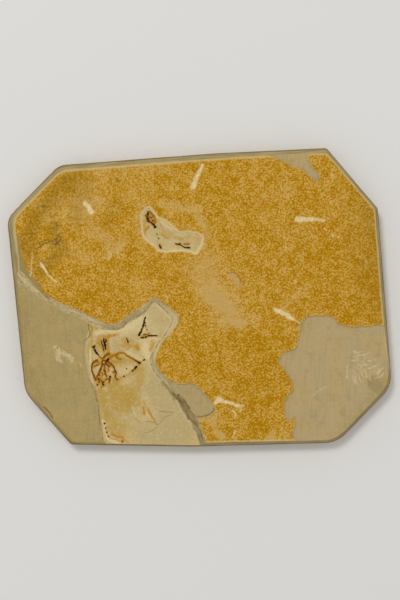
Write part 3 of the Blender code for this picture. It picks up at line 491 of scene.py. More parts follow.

# The bones. Each is its kind, which sets how strongly it stains the stone round it, the height
# of its floor and its strokes. A stroke is its width at each end, its tones along the way and
# the points of its middle line. A tone goes from 0, golden, through 0.5, red-brown, to 1, black.
BONES = {
    "skull": ("brown_bone", FISH_LEVEL, [
        (0.8, 0.9, (0.3, 0.5, 0.7, 0.6, 0.55, 0.4, 0.65),
            (-66, -40.9), (-68.1, -41.7), (-69.6, -43.2), (-70.2, -45.1), (-70.1, -46.9),
            (-69.7, -48.9), (-68.8, -50.9), (-68.1, -52.8), (-67.3, -54.2)),
        (1.2, 0.8, (0.35, 0.3, 0.15), (-68.7, -45.3), (-66.5, -44.1), (-64.9, -43.6)),
        (0.8, 0.8, (0.5, 0.6, 0.5),
            (-63.7, -42.3), (-63.1, -41.5), (-62.1, -41.2), (-61.1, -41.7), (-61, -42.8),
            (-61.8, -43.6), (-63, -43.5), (-63.7, -42.3)),
        (1.1, 1, (0.4, 0.5, 0.4, 0.25),
            (-62.3, -39.7), (-61.6, -38.6), (-60.6, -37.5), (-59.5, -36.7), (-58, -37.2)),
        (1.4, 1.2, (0.3, 0.45), (-60.6, -37.8), (-58.6, -36.6)),
        (0.6, 0.8, (0.2, 0.35), (-65.1, -38.5), (-64.2, -39.5), (-63.2, -40.3), (-62.3, -39.7)),
        (1.3, 1, (1, 0.95, 0.7), (-59.1, -39.7), (-59.6, -40.7), (-60.3, -41.7), (-61, -42.8)),
        (1, 0.9, (0.65, 0.7, 0.6, 0.35),
            (-63.5, -43.7), (-63.6, -44.9), (-64.3, -46.8), (-65.3, -48.8), (-65.7, -50.3),
            (-66.6, -51.5), (-66.8, -52.5)),
        (0.7, 0.7, (0.5, 0.3), (-65.7, -50.3), (-64.6, -51.3)),
        (0.9, 0.8, (0.4, 0.2, 0.5, 0.6, 0.4),
            (-61.7, -43.7), (-61.6, -45.9), (-62.1, -47.5), (-61.4, -48.6), (-61.4, -50.2),
            (-60.5, -50.8), (-60.4, -52.1)),
        (1, 1.2, (0.6, 0.65, 0.55), (-61, -42.9), (-59.9, -44.2), (-58.5, -45.3)),
        (0.6, 0.6, (0.4, 0.3), (-59.6, -42.2), (-58.2, -43.6), (-57.2, -44.8)),
        (0.9, 0.8, (0.9, 0.8), (-61.5, -47.6), (-61.2, -48.5)),
        (0.6, 0.5, (0.2, 0.4, 0.1), (-64, -49), (-62.8, -50.2), (-63.6, -51.6)),
        (0.5, 0.5, (0.1, 0.3), (-59.6, -46.4), (-59, -48)),
        (0.5, 0.6, (0.3, 0.1), (-68.6, -42.6), (-66.6, -42), (-65.4, -42.6)),
    ]),
    "jaws": ("brown_bone", FISH_LEVEL, [
        (0.7, 0.8, (0.3, 0.4), (-67.4, -53.6), (-66.4, -53.4), (-65.6, -53.6), (-64.2, -53.7)),
        (0.9, 0.9, (0.5, 0.7, 0.6), (-65.8, -52.6), (-65.3, -54.3), (-65.4, -55.8)),
        (1.1, 1, (1, 1), (-66.2, -56.6), (-66.6, -57.5)),
        (1, 1.2, (0.6, 0.8, 0.75), (-63.7, -54.2), (-63.2, -55.5), (-63, -56.4), (-62.4, -57.5)),
        (0.9, 0.8, (0.8, 0.7), (-62, -54.7), (-62.7, -55.8)),
        (0.8, 0.7, (0.9, 0.9), (-63.8, -58.2), (-63.6, -59)),
    ]),
    "hyoid_bone": ("brown_bone", FISH_LEVEL, [
        (0.7, 0.8, (0.5, 0.3, 0.5), (-61.6, -54.2), (-60.5, -53.4), (-59.2, -53.2), (-58.3, -53.2)),
        (1.2, 0.7, (1, 0.6, 0.3), (-57.8, -51.4), (-58.2, -52.9), (-58.6, -54.6), (-58.9, -56)),
    ]),
    "shoulder_girdle": ("brown_bone", FISH_LEVEL, [
        (0.8, 0.8, (0.4, 0.3, 0.5, 0.65, 0.55, 0.75, 0.5, 0.4, 0.65),
            (-59.9, -41.5), (-58.2, -42.6), (-56.6, -44.1), (-55.6, -45.9), (-54.9, -47.8),
            (-54.2, -49.5), (-54.7, -51.2), (-54.5, -52.7), (-53, -54)),
        (0.9, 0.7, (0.5, 0.35), (-54.7, -48.2), (-55.7, -48.9), (-56.6, -49)),
    ]),
    "backbone": ("brown_bone", FISH_LEVEL, [
        (0.8, 0.9, (0.3, 0.2, 0.1, 0.25, 0.1, 0.1, 0.2, 0.3, 0.25, 0.35, 0.6, 1),
            (-59, -39.8), (-57.4, -38.9), (-55.8, -37.8), (-54.3, -37.5), (-52.6, -36.6),
            (-50.9, -36.1), (-49.2, -36.3), (-47.6, -37.8), (-45.7, -38.9), (-43.7, -39.8),
            (-41.8, -41.2), (-40.2, -42.1), (-38.8, -42.9)),
        (1.5, 1.1, (1, 1), (-39.5, -43.3), (-38.3, -42.3)),
        (0.8, 0.6, (0.3, 0.2), (-54.4, -37.6), (-53.8, -39.1), (-52.6, -40.1), (-50.8, -40.4)),
    ]),
    "nape_spine": ("black_bone", FISH_LEVEL, [
        (1.1, 1.3, (0.9, 0.6, 1, 0.95, 1),
            (-69.4, -32), (-68.6, -33.4), (-67.7, -35.2), (-66.8, -36.7), (-65.5, -38)),
        (0.8, 1, (0.95, 1), (-68, -31.1), (-68.4, -32.5)),
    ]),
    "dorsal_spine_1": ("black_bone", FISH_LEVEL, [
        (1, 0.8, (0.8, 0.95, 0.8), (-63.9, -28.2), (-63.5, -30.2), (-62.9, -32.1), (-62.1, -35.3)),
    ]),
    "dorsal_spine_2": ("black_bone", FISH_LEVEL, [
        (0.7, 1, (0.9, 1, 1, 0.7),
            (-62.5, -26.7), (-62.1, -28.5), (-61.7, -30.2), (-61.3, -32.1), (-61.2, -34.3)),
        (0.7, 0.8, (0.8, 0.9), (-61.7, -27.1), (-60.9, -27.7), (-60.9, -29), (-61.6, -29.8)),
        (2, 1.8, (1, 1), (-61.5, -30.8), (-61.2, -31.9)),
    ]),
    "rear_dorsal_ray": ("black_bone", FISH_LEVEL, [
        (0.8, 0.8, (0.95, 0.9), (-47.5, -26.4), (-46.9, -28.1), (-46.4, -29.8)),
    ]),
    "tail_upper_lobe": ("black_bone", FISH_LEVEL, [
        (1.2, 0.9, (1, 0.85, 0.7, 1, 0.95, 0.9),
            (-39.7, -25.4), (-38.4, -23), (-37.2, -20.3), (-36.3, -17.6), (-35.8, -15.1),
            (-35, -12.6)),
        (0.7, 0.6, (0.9, 0.8), (-35.8, -16.6), (-34.9, -17)),
        (0.9, 0.7, (0.9, 0.8), (-35.3, -18.4), (-34.8, -19.1)),
        (0.8, 0.8, (0.9, 0.9), (-34.4, -20.9), (-33.9, -21.4)),
    ]),
    "tail_lower_lobe": ("black_bone", FISH_LEVEL, [
        (0.9, 0.8, (0.9, 0.7, 0.9), (-38.4, -26.7), (-36.8, -26.3), (-35.2, -26.2), (-33.8, -25.7)),
        (1, 0.6, (0.9, 1, 0.95, 0.7),
            (-33.2, -25.3), (-32, -25.1), (-30.8, -25.2), (-29, -25.2), (-27, -25.4)),
        (0.7, 0.8, (0.6, 0.5, 0.9), (-36.9, -24.7), (-35.4, -24.3), (-33.9, -24.5), (-32.4, -25)),
        (0.6, 0.6, (0.6, 0.5), (-33.4, -23.4), (-32.6, -23.3)),
    ]),
    "belly_scute_1": ("black_bone", FISH_LEVEL, [
        (0.9, 1, (0.5, 0.95), (-36.8, -41.2), (-35.4, -40.4)),
        (0.6, 0.6, (0.7, 0.7), (-36.5, -38.8), (-36.2, -38.6)),
    ]),
    "belly_scute_2": ("black_bone", FISH_LEVEL, [
        (1.3, 1, (1, 0.85), (-40.7, -45), (-41.7, -46.2), (-42.5, -47.1)),
    ]),
    "belly_scute_3": ("black_bone", FISH_LEVEL, [
        (1, 0.9, (0.9, 0.6), (-42.9, -47.3), (-43.7, -48.1), (-44.6, -48.4)),
    ]),
    "belly_scute_4": ("black_bone", FISH_LEVEL, [
        (1.2, 1.1, (1, 1), (-47.5, -46.3), (-47.2, -46.9)),
    ]),
    "belly_scute_5": ("black_bone", FISH_LEVEL, [
        (1.1, 0.8, (0.9, 0.7), (-49.6, -51.6), (-48.8, -51.2)),
    ]),
    "second_fossil_head": ("black_bone", WINDOW_LEVEL, [
        (1.1, 1.6, (0.3, 1, 0.8, 0.5, 1, 0.6, 1),
            (-33.5, 56.2), (-33.4, 54.1), (-33.9, 52.4), (-33.5, 50.9), (-33.2, 48.9)),
        (1.2, 1.5, (0.8, 0.6, 0.9, 1),
            (-33.2, 49.4), (-31.7, 48.7), (-30.1, 47.6), (-29, 46.3), (-28.4, 45.2)),
        (0.9, 0.8, (0.5, 0.1, 0.4, 0.15), (-33.1, 55.2), (-32.2, 55.8), (-31, 54.4), (-29.6, 52.9)),
        (0.8, 0.8, (0.2, 0.5, 0.2), (-32.6, 52.4), (-31.3, 51.8), (-30.2, 52.4)),
        (0.9, 1, (0.1, 0, 0.2), (-29.6, 52.8), (-28.4, 50.6), (-28.6, 48.4)),
        (0.7, 0.8, (0.7, 0.5), (-31, 50.1), (-29.3, 49.6)),
        (0.8, 0.8, (0.4, 0.5), (-34.9, 53.8), (-35.1, 52.6)),
    ]),
    "second_fossil_fin_spine": ("black_bone", WINDOW_LEVEL, [
        (1, 1, (1, 0.8, 1), (-26.4, 34.5), (-25.5, 33), (-24.7, 31.5)),
    ]),
    "second_fossil_tail": ("black_bone", WINDOW_LEVEL, [
        (0.6, 0.9, (0.8, 1, 1, 0.9),
            (-16.1, 35), (-14.5, 34.5), (-12.8, 34.3), (-11.2, 33.4), (-9.6, 32.5), (-8, 32.2),
            (-5.9, 32.1)),
        (1, 0.7, (1, 0.9), (-13.6, 34.2), (-12.2, 35.3)),
        (0.7, 0.6, (0.2, 0.3), (-10.1, 34.7), (-7.9, 34.6), (-6.3, 34.7)),
    ]),
    "second_fossil_scute_1": ("black_bone", WINDOW_LEVEL, [
        (1.1, 1, (1, 1), (-27.9, 41.4), (-27.5, 40.9)),
    ]),
    "second_fossil_scute_2": ("black_bone", WINDOW_LEVEL, [
        (1.2, 1, (1, 1), (-26.7, 38.4), (-26.3, 38)),
    ]),
    "third_fossil_scute_1": ("black_bone", FISH_LEVEL, [
        (1.1, 1, (1, 1), (-62.1, -82), (-61.5, -82.8)),
    ]),
    "third_fossil_scute_2": ("black_bone", FISH_LEVEL, [
        (1.4, 1.3, (1, 1), (-61.3, -85.1), (-60.7, -85.6)),
    ]),
    "third_fossil_scute_3": ("black_bone", FISH_LEVEL, [
        (1.9, 1.8, (1.2, 1.2), (-60.5, -87.8), (-59.9, -88.3)),
    ]),
    "third_fossil_scute_4": ("black_bone", FISH_LEVEL, [
        (1.4, 1.4, (1.1, 1.2), (-59.4, -90.4), (-58.9, -90.9)),
    ]),
    "third_fossil_scute_5": ("brown_bone", FISH_LEVEL, [
        (1.4, 1.3, (1, 0.9), (-50.6, -93.8), (-49.9, -94)),
    ]),
}

# Shape of the bones.
BONE_SWELL = 1.1
BONE_HEIGHT = 0.34
BONE_ROOT = 0.3
BONE_SIDES = 12
BONE_STEP = 0.22
BONE_VOXEL = 0.13
BONE_TAPER = 0.8
WIDTH_TAPER = (0.3, 0.2)
HEIGHT_TAPER = (0.35, 0.4)
BONE_SEED = 200
SEEDS_PER_BONE = 100
SEEDS_PER_STROKE = 10

# How far marks reach from the lines that they follow, and how strong the bones' stains are.
STAIN_REACH = 3.0
TOE_REACH = 2.0
RIM_REACH = 3.0
STAIN_STRENGTH = {"brown_bone": 0.8, "black_bone": 0.45}

# How closely the stone's mesh follows its shapes.
RIM_STEP = 0.9
RIM_SHARES = (0.13, 0.26, 0.375, 0.475, 0.575, 0.7, 0.825, 0.92, 1.0)
EDGE_STEP = 0.55
PLAIN_STEP = 1.35
FINE_STEP = 0.62
FISH_STEP = 0.36
THIN_MARK = 1.3
CLEAR_MARK = 0.4
FISH_AREA = ((-75.0, -60.0), (-23.0, -10.0))
SIDE_ROWS = 14
BACK_STEP = 3.5
SHARP_ANGLE = math.radians(32.0)
ROW_HEIGHT = math.sqrt(0.75)
LATTICE_SHAKE = 0.22
LATTICE_SEED = 71
BACK_SEED = 95
FACE_GAP = 0.5
BACK_GAP = 0.6
MERGE = 1e-4

# Kinds of surface, in the order of the slab's materials.
OCHRE_FACE, GREY_FACE, WALL_FACE, FOSSIL_FACE, RIM_FACE, SIDE_FACE, BACK_FACE = range(7)

# Uneven shapes. Each is how far it goes, how large its blotches are, and its seed.
LIP_WANDER = ((0.4, 4.0, 21), (0.2, 1.3, 23))
TOE_WANDER = ((0.35, 5.0, 25), (0.15, 1.5, 27))
STEP_TOP_WANDER = ((0.5, 5.0, 29),)
STEP_FOOT_WANDER = ((0.3, 3.0, 31),)
CRACK_WANDER = ((0.35, 1.6, 61),)
RIM_WEAR = (0.05, 9.0, 11)
RIM_CHIPS = (1.0, 3.1, 12)
FACE_WAVES = (0.16, 5.0, 13)
FACE_GRAIN = (0.1, 1.9, 14)
WALL_BEDS = (2.0, 9.0, 51)
FINE_CHATTER = (0.07, 1.2, 52)
WIDE_CHATTER = (0.07, 2.6, 53)
FLOOR_SWELL = (0.5, 11.0, 81)
FLOOR_GRAIN = (0.5, 1.5, 82)
FLOOR_RIPPLE = (0.5, 3.4, 83)
SIDE_BEDS = (0.06, 1.0, 91)
SIDE_WEAR = (0.06, 1.6, 92)
GRINDING = (1.0, 12.0, 97)
BACK_SWELL = (0.35, 17.0, 98)
BACK_GRAIN = (0.15, 5.0, 99)
# The same for each bone, without the seed.
BONE_WANDER = (0.2, 0.9)
BONE_WAIST = (0.5, 0.7)
BONE_RISE = (0.3, 1.1)
BONE_GRAIN = (0.05, 0.45)
# Broken edges of the pits: the size of their waves and chips, and the chips' share in depth.
PIT_WAVE = 3.2
PIT_CHIP = 1.1
PIT_CHIP_SHARE = 0.55
PIT_SEED = 41
# Ragged edges of the painted marks.
RAGGED = 0.4
RAGGED_SIZE = 0.3
LEAST_RAGGED_SIZE = 0.9
MARK_SEED = 300

# Depths and shapes of wear and relief.
RIM_MARGIN = 0.01
RIM_WEAR_MEAN = 0.07
CHIP_FROM = 0.72
SIDE_WEAR_MEAN = 0.09
BED_STRETCH = 3.0
BED_ROW = 4.0
WEAR_ALONG = 0.2
WEAR_DOWN = 4.0
GRIND_DEPTH = 0.12
GRIND_LINES = 24.0
LEDGE_DEPTH = 0.05
LEDGES = 21.0
WALL_CURVE = 0.85
PALE_DEPTH = 0.16
CRACK_DEPTH = 0.25
BACK_RELIEF = 0.35
BACK_EDGE = 4.0
# On each kind of rock, how far the surface lies below its level: always, by its swells, by
# its ripples and by its grain.
RELIEF = np.array([
    (0.02, 0.06, 0.0, 0.03),
    (0.0, 0.06, 0.0, 0.02),
    (0.02, 0.06, 0.0, 0.03),
    (0.0, 0.08, 0.09, 0.05),
])

# Limits of the searches in the plane.
NOISE_GRID = 256
CHUNK = 20000
ROW_CHUNK = 400
MANY_POINTS = 24
NO_LIMIT = 1e9
TINY = 1e-9
NEARLY_STRAIGHT = 0.2

# Colours as the photograph shows them, red, green and blue from 0 to 255.
OCHRE_DEEP = (166, 113, 0)
OCHRE = (188, 139, 18)
OCHRE_PALE = (208, 169, 94)
OCHRE_RED = (184, 120, 6)
OCHRE_DIM = (146, 110, 24)
TAN = (193, 160, 96)
CREAM = (222, 198, 142)
CHALK = (240, 222, 174)
STONE = (182, 164, 118)
SQUIGGLE = (112, 88, 46)
GREY_LEFT = (171, 150, 97)
GREY_RIGHT = (183, 161, 116)
GREY_DARK = (138, 118, 70)
SCRAPED = (216, 198, 152)
WALL = (206, 185, 137)
WALL_GREY = (178, 159, 114)
SHADE_BROWN = (132, 110, 56)
OLIVE = (88, 72, 26)
FOSSIL = (200, 178, 124)
BUFF_STONE = (188, 166, 115)
GOLDEN = (182, 145, 54)
AMBER = (186, 132, 14)
HALO_CREAM = (218, 198, 144)
ORANGE = (186, 128, 4)
BROWN = (104, 72, 20)
BROWN_SPOT = (136, 92, 6)
BARE_TAN = (154, 134, 84)
RIM_TAN = (172, 150, 102)
RIM_GREY = (148, 128, 84)
RIM_SHADE = (100, 88, 50)
RIM_PALE = (194, 174, 122)
BLACK = (33, 27, 14)
BONE_GOLD = (178, 116, 14)
BONE_RED = (122, 72, 0)
FLOOR = (226, 224, 220)

# Sockets of the node that mixes two colours, which share their names with others.
MIX_SHARE, MIX_FIRST, MIX_SECOND, MIX_RESULT = 0, 6, 7, 2

# The camera looks straight down, as the photograph looks straight at the upright slab.
CAMERA_X = 0.455
CAMERA_Y = -1.82
VIEW_HEIGHT = 390.0
LENS = 85.0
SENSOR = 36.0
FLOOR_REACH = 3000.0
# The key lamp's place and size in metres, and the strength of both lights.
KEY_PLACE = (-0.8, 1.3, 2.5)
KEY_SIZE = 0.9
KEY_LIGHT = 29.5
SKY_LIGHT = 0.62


def smooth_step(value):
    value = np.clip(value, 0.0, 1.0)
    return value * value * (3.0 - 2.0 * value)


def between(first, last, share):
    return first + (last - first) * share


def soft_noise(points, size, seed):
    """Smooth random values from -1 to 1 in blotches about size millimetres across."""
    table = np.random.default_rng(seed).uniform(-1.0, 1.0, (NOISE_GRID, NOISE_GRID))
    place = np.asarray(points)[:, :2] / size + NOISE_GRID / 2
    cell = np.floor(place).astype(int)
    across, up = smooth_step(place - cell).T
    i, j = (cell % NOISE_GRID).T
    i_next, j_next = ((cell + 1) % NOISE_GRID).T
    low = table[i, j] * (1.0 - across) + table[i_next, j] * across
    high = table[i, j_next] * (1.0 - across) + table[i_next, j_next] * across
    return low * (1.0 - up) + high * up


def wave(points, depth, size, seed):
    """Soft noise of the given depth."""
    return depth * soft_noise(points, size, seed)


def smooth_line(points, step, closed=False):
    """Points at about an even step on a smooth curve through the given ones, and where each comes."""
    given = np.asarray(points, float)
    count = len(given)
    fine = []
    marks = []
    for i in range(count if closed else count - 1):
        a = given[i]
        b = given[(i + 1) % count]
        before = given[i - 1] if closed or i > 0 else 2.0 * a - b
        after = given[(i + 2) % count] if closed or i + 2 < count else 2.0 * b - a
        parts = max(1, round(np.linalg.norm(b - a) / step))
        marks.append(len(fine))
        for k in range(parts):
            t = k / parts
            bend = (2.0 * before - 5.0 * a + 4.0 * b - after) * t * t
            twist = (3.0 * a - before - 3.0 * b + after) * t ** 3
            fine.append(0.5 * (2.0 * a + (b - before) * t + bend + twist))
    if not closed:
        marks.append(len(fine))
        fine.append(given[-1])
    return np.array(fine), marks


def roughen(line, amount, size, seed):
    """Shift the points of a line a little, in blotches of the given size."""
    shift = np.stack([soft_noise(line, size, seed), soft_noise(line, size, seed + 1)], axis=1)
    return line + amount * shift


def wandering_line(points, wander, closed=False):
    """A smooth line through the points that wanders a little, and where each point comes."""
    line, marks = smooth_line(points, EDGE_STEP, closed)
    for amount, size, seed in wander:
        line = roughen(line, amount, size, seed)
    return line, marks


def offset_line(line, amount, closed=False):
    """The line moved to its left by an amount."""
    if closed:
        along = np.roll(line, -1, 0) - np.roll(line, 1, 0)
    else:
        along = np.gradient(line, axis=0)
    along = along / np.linalg.norm(along, axis=1, keepdims=True)
    return line + amount * np.stack([-along[:, 1], along[:, 0]], axis=1)


def search_tree(points):
    """A tree that finds the nearest of the points."""
    tree = kdtree.KDTree(len(points))
    for index, (x, y) in enumerate(points):
        tree.insert((x, y, 0.0), index)
    tree.balance()
    return tree


def nearest_segments(points, line):
    """For each point, the two stretches of a finely drawn line that meet at its nearest vertex."""
    tree = search_tree(line)
    vertex = np.array([tree.find((x, y, 0.0))[1] for x, y in points])
    return np.stack([np.maximum(vertex - 1, 0), np.minimum(vertex, len(line) - 2)], axis=1)


def away_from(points, others, gap):
    """The points that are farther than gap from all the others."""
    tree = search_tree(others)
    keep = [tree.find((x, y, 0.0))[2] > gap for x, y in points]
    return points[np.array(keep, bool)]


def within_reach(points, shape, reach):
    """Numbers of the points that are within reach of the box round a shape."""
    near = (points > shape.min(0) - reach) & (points < shape.max(0) + reach)
    return np.flatnonzero(near.all(1))


def in_parts(numbers, size):
    """The numbers in parts of at most the given size, so that no table grows too large."""
    return [numbers[first:first + size] for first in range(0, len(numbers), size)]


def line_distance(points, line, reach=NO_LIMIT):
    """Distance of each point from a line, infinite past reach, and the share of the way along it."""
    distance = np.full(len(points), np.inf)
    share = np.zeros(len(points))
    every = np.arange(len(line) - 1)[None]
    for part in in_parts(within_reach(points, line, reach), CHUNK):
        tried = nearest_segments(points[part], line) if len(line) > MANY_POINTS else every
        start = line[tried]
        along = line[tried + 1] - start
        length = np.maximum((along ** 2).sum(2), TINY)
        away = points[part][:, None, :] - start
        t = np.clip((away * along).sum(2) / length, 0.0, 1.0)
        gap = np.sqrt(((away - t[..., None] * along) ** 2).sum(2))
        best = gap.argmin(1)
        rows = np.arange(len(part))
        distance[part] = gap[rows, best]
        whole = np.broadcast_to(tried, gap.shape)[rows, best]
        share[part] = (whole + t[rows, best]) / (len(line) - 1)
    return distance, share


def share_between(points, first, second):
    """0 on the first line, 1 on the second, and in proportion between them."""
    to_first, _ = line_distance(points, first)
    to_second, _ = line_distance(points, second)
    return to_first / np.maximum(to_first + to_second, TINY)


def nearness(points, line, reach):
    """1 on a line, falling to 0 at the given distance."""
    return np.clip(1.0 - line_distance(points, line, reach)[0] / reach, 0.0, 1.0)


def inside(points, outline):
    """Which points are inside a closed outline."""
    result = np.zeros(len(points), bool)
    near = within_reach(points, outline, 0.0)
    near = near[np.argsort(points[near, 1])]
    following = np.roll(outline, -1, 0)
    lowest = np.minimum(outline[:, 1], following[:, 1])
    highest = np.maximum(outline[:, 1], following[:, 1])
    for part in in_parts(near, ROW_CHUNK):
        x, y = points[part].T[:, :, None]
        reached = (lowest <= y.max()) & (highest >= y.min())
        ax, ay = outline[reached].T
        bx, by = following[reached].T
        rise = np.where(by == ay, TINY, by - ay)
        crosses = (ay > y) != (by > y)
        left_of = x < ax + (y - ay) * (bx - ax) / rise
        result[part] = (crosses & left_of).sum(1) % 2 == 1
    return result


def close(line):
    return np.vstack([line, line[:1]])


def signed_area(outline):
    x, y = outline.T
    return 0.5 * np.sum(x * np.roll(y, -1) - y * np.roll(x, -1))


def paint(points, marks, firmness=1.5):
    """Strength of a list of marks at each point, from 0 to 1, with soft and ragged edges."""
    bare = np.ones(len(points))
    for number, (strength, first_width, last_width, *line) in enumerate(marks):
        widest = max(first_width, last_width)
        distance, share = line_distance(points, np.array(line, float), widest)
        near = np.isfinite(distance)
        half = between(first_width, last_width, share[near]) / 2.0
        size = max(LEAST_RAGGED_SIZE, RAGGED_SIZE * widest)
        wander = soft_noise(points[near], size, MARK_SEED + number)
        edge = 1.0 - distance[near] / (half * (1.0 + RAGGED * wander))
        bare[near] *= 1.0 - strength * smooth_step(firmness * edge)
    return 1.0 - bare


def paint_lines(points, lines, marks):
    """Strength of fine lines that the mesh follows, at each point."""
    result = np.zeros(len(points))
    for line, (strength, first_width, last_width, *_) in zip(lines, marks):
        distance, share = line_distance(points, line, first_width)
        half = between(first_width, last_width, share) / 2.0
        fade = np.where(np.isfinite(distance), smooth_step(1.0 - distance / half), 0.0)
        result = np.maximum(result, strength * fade)
    return result


def moved_corners(share):
    """The slab's corners, when every edge is moved inward by a share of its bevel."""
    place = [np.array(corner[0]) for corner in CORNERS]
    edge = [after - here for here, after in zip(place, place[1:] + place[:1])]
    inward = [np.array([along[1], -along[0]]) / np.linalg.norm(along) for along in edge]
    moved = []
    for i in range(len(CORNERS)):
        (ax, ay), (bx, by) = inward[i - 1], inward[i]
        width_in = CORNERS[i - 1][2] * share
        width_out = CORNERS[i][2] * share
        bend = ax * by - ay * bx
        if abs(bend) < NEARLY_STRAIGHT:
            shift = (inward[i - 1] * width_in + inward[i] * width_out) / 2.0
        else:
            shift = np.array([width_in * by - width_out * ay, width_out * ax - width_in * bx]) / bend
        moved.append(place[i] + shift)
    return moved


def corner_arc(before, corner, after, radius):
    """Points of the arc that rounds a corner."""
    to_before = (before - corner) / np.linalg.norm(before - corner)
    to_after = (after - corner) / np.linalg.norm(after - corner)
    turn = math.pi - math.acos(np.dot(to_before, to_after))
    middle = to_before + to_after
    centre = corner + middle / np.linalg.norm(middle) * radius / math.cos(turn / 2.0)
    x, y = corner + to_before * radius * math.tan(turn / 2.0) - centre
    steps = max(2, round(turn / ARC_STEP))
    points = []
    for step in range(steps + 1):
        angle = -turn * step / steps
        turned = (x * math.cos(angle) - y * math.sin(angle), x * math.sin(angle) + y * math.cos(angle))
        points.append(centre + np.array(turned))
    return points


def rounded_outline(share):
    """The slab's outline with every edge moved inward by a share of its bevel, with round corners."""
    moved = moved_corners(share)
    points = []
    for i, (_, radius, _) in enumerate(CORNERS):
        if radius == 0.0:
            points.append(moved[i])
        else:
            points += corner_arc(moved[i - 1], moved[i], moved[(i + 1) % len(moved)], radius)
    return np.array(points)


def rim_outlines():
    """Matching points on the slab's outline and on the inner edge of its bevel, slightly worn."""
    corners = np.hstack([rounded_outline(0.0), rounded_outline(1.0)])
    fine = []
    for start, end in zip(corners, np.roll(corners, -1, 0)):
        parts = max(1, round(np.linalg.norm(end[:2] - start[:2]) / RIM_STEP))
        fine += [between(start, end, k / parts) for k in range(parts)]
    outer, face = np.hsplit(np.array(fine), 2)
    inward = face - outer
    inward = inward / np.linalg.norm(inward, axis=1, keepdims=True)
    wear = RIM_WEAR_MEAN + wave(outer, *RIM_WEAR)
    chips = np.maximum(wave(outer, *RIM_CHIPS) - CHIP_FROM, 0.0)
    outer = outer + inward * (wear + chips)[:, None]
    ripple = wave(face, *FACE_WAVES) + wave(face, *FACE_GRAIN)
    face = face + inward * ripple[:, None]
    return outer, face, inward


class Stone:
    """The lines that bound the surfaces of the slab, and the height and kind of its face at any point."""

    def __init__(self):
        self.outer, self.face, self.inward = rim_outlines()
        self.lip, _ = wandering_line(WALL_LIP, LIP_WANDER)
        self.toe, marks = wandering_line(WALL_TOE, TOE_WANDER)
        self.step_top, _ = wandering_line(STEP_TOP, STEP_TOP_WANDER)
        self.step_foot, _ = wandering_line(STEP_FOOT, STEP_FOOT_WANDER)
        top_start, foot_start = marks[WALL_MEETS_STEP:WALL_MEETS_STEP + 2]
        self.step_top[0] = self.toe[top_start]
        self.step_foot[0] = self.toe[foot_start]
        far_corner = np.array([[WALL_TOE[0][0], STEP_TOP[-1][1]]])
        self.cut = np.vstack([self.lip, far_corner])
        self.floor = np.vstack([self.toe, far_corner])
        self.grey = np.vstack([self.toe[:top_start], self.step_top, far_corner])
        self.fossil = np.vstack([self.toe[foot_start:], self.step_foot[::-1]])
        self.pits = []
        for number, (points, level, lean, wander) in enumerate(PITS):
            seed = PIT_SEED + 4 * number
            waves = (wander, PIT_WAVE, seed)
            chips = (PIT_CHIP_SHARE * wander, PIT_CHIP, seed + 2)
            outline, _ = wandering_line(points, (waves, chips), closed=True)
            self.pits.append((outline, level, lean))
        self.cracks = [wandering_line(line, CRACK_WANDER)[0] for _, _, _, *line in CRACKS]

    def bevel_share(self, points):
        """0 on the outline, 1 on the inner edge of the bevel and everywhere inside it."""
        share = np.ones(len(points))
        rim = np.flatnonzero(~inside(points, self.face))
        share[rim] = share_between(points[rim], close(self.outer), close(self.face))
        return share

    def wall_share(self, points):
        """0 at the lip of the carved wall, 1 at its toe."""
        return share_between(points, self.lip, self.toe)

    def wall_drop(self, points):
        """Share of the drop from lip to toe: a little hollow, with ledges of the layers and tool marks."""
        share = self.wall_share(points)
        ledges = LEDGE_DEPTH * np.sin(share * LEDGES + wave(points, *WALL_BEDS))
        chatter = wave(points, *FINE_CHATTER) + wave(points, *WIDE_CHATTER)
        drop = share ** WALL_CURVE + (ledges + chatter) * np.sin(np.pi * np.clip(share, 0.0, 1.0))
        return np.clip(drop, 0.0, 1.0)

    def rock(self, points):
        """Height of the rock at each point as if there were no bevel, and its kind."""
        height = np.full(len(points), OCHRE_LEVEL)
        kind = np.full(len(points), OCHRE_FACE)
        for number, (outline, level, lean) in enumerate(self.pits):
            within = np.flatnonzero(inside(points, outline))
            to_edge, _ = line_distance(points[within], close(outline))
            height[within] = between(OCHRE_LEVEL, level, np.clip(to_edge / lean, 0.0, 1.0))
            kind[within] = FOSSIL_FACE if number == WINDOW else GREY_FACE

        floor = inside(points, self.floor)
        wall = np.flatnonzero(inside(points, self.cut) & ~floor)
        spot = points[wall]
        step_x = [self.step_top[0, 0], self.step_foot[0, 0]]
        toe_level = np.interp(spot[:, 0], step_x, [GREY_LEVEL, FISH_LEVEL])
        height[wall] = np.minimum(height[wall], between(OCHRE_LEVEL, toe_level, self.wall_drop(spot)))
        kind[wall] = WALL_FACE

        grey = floor & inside(points, self.grey)
        fossil = floor & inside(points, self.fossil)
        step = np.flatnonzero(floor & ~grey & ~fossil)
        share = smooth_step(share_between(points[step], self.step_top, self.step_foot))
        height[grey] = GREY_LEVEL
        height[fossil] = FISH_LEVEL
        height[step] = between(GREY_LEVEL, FISH_LEVEL, share)
        kind[grey] = GREY_FACE
        kind[fossil] = FOSSIL_FACE
        kind[step] = FOSSIL_FACE
        return height, kind

    def lines(self):
        """Every line that the mesh has to follow inside the rim."""
        found = [self.lip, self.toe, self.step_top, self.step_foot]
        for outline, _, lean in self.pits:
            side = 1.0 if signed_area(outline) > 0.0 else -1.0
            found.append(close(outline))
            found.append(close(offset_line(outline, side * lean, closed=True)))
        found += self.cracks
        for _, first_width, last_width, *line in PALE + SCRATCH + RUST + SEAM + GOLD + SMUDGE:
            if max(first_width, last_width) <= THIN_MARK:
                found.append(smooth_line(line, FINE_STEP)[0])
        return found


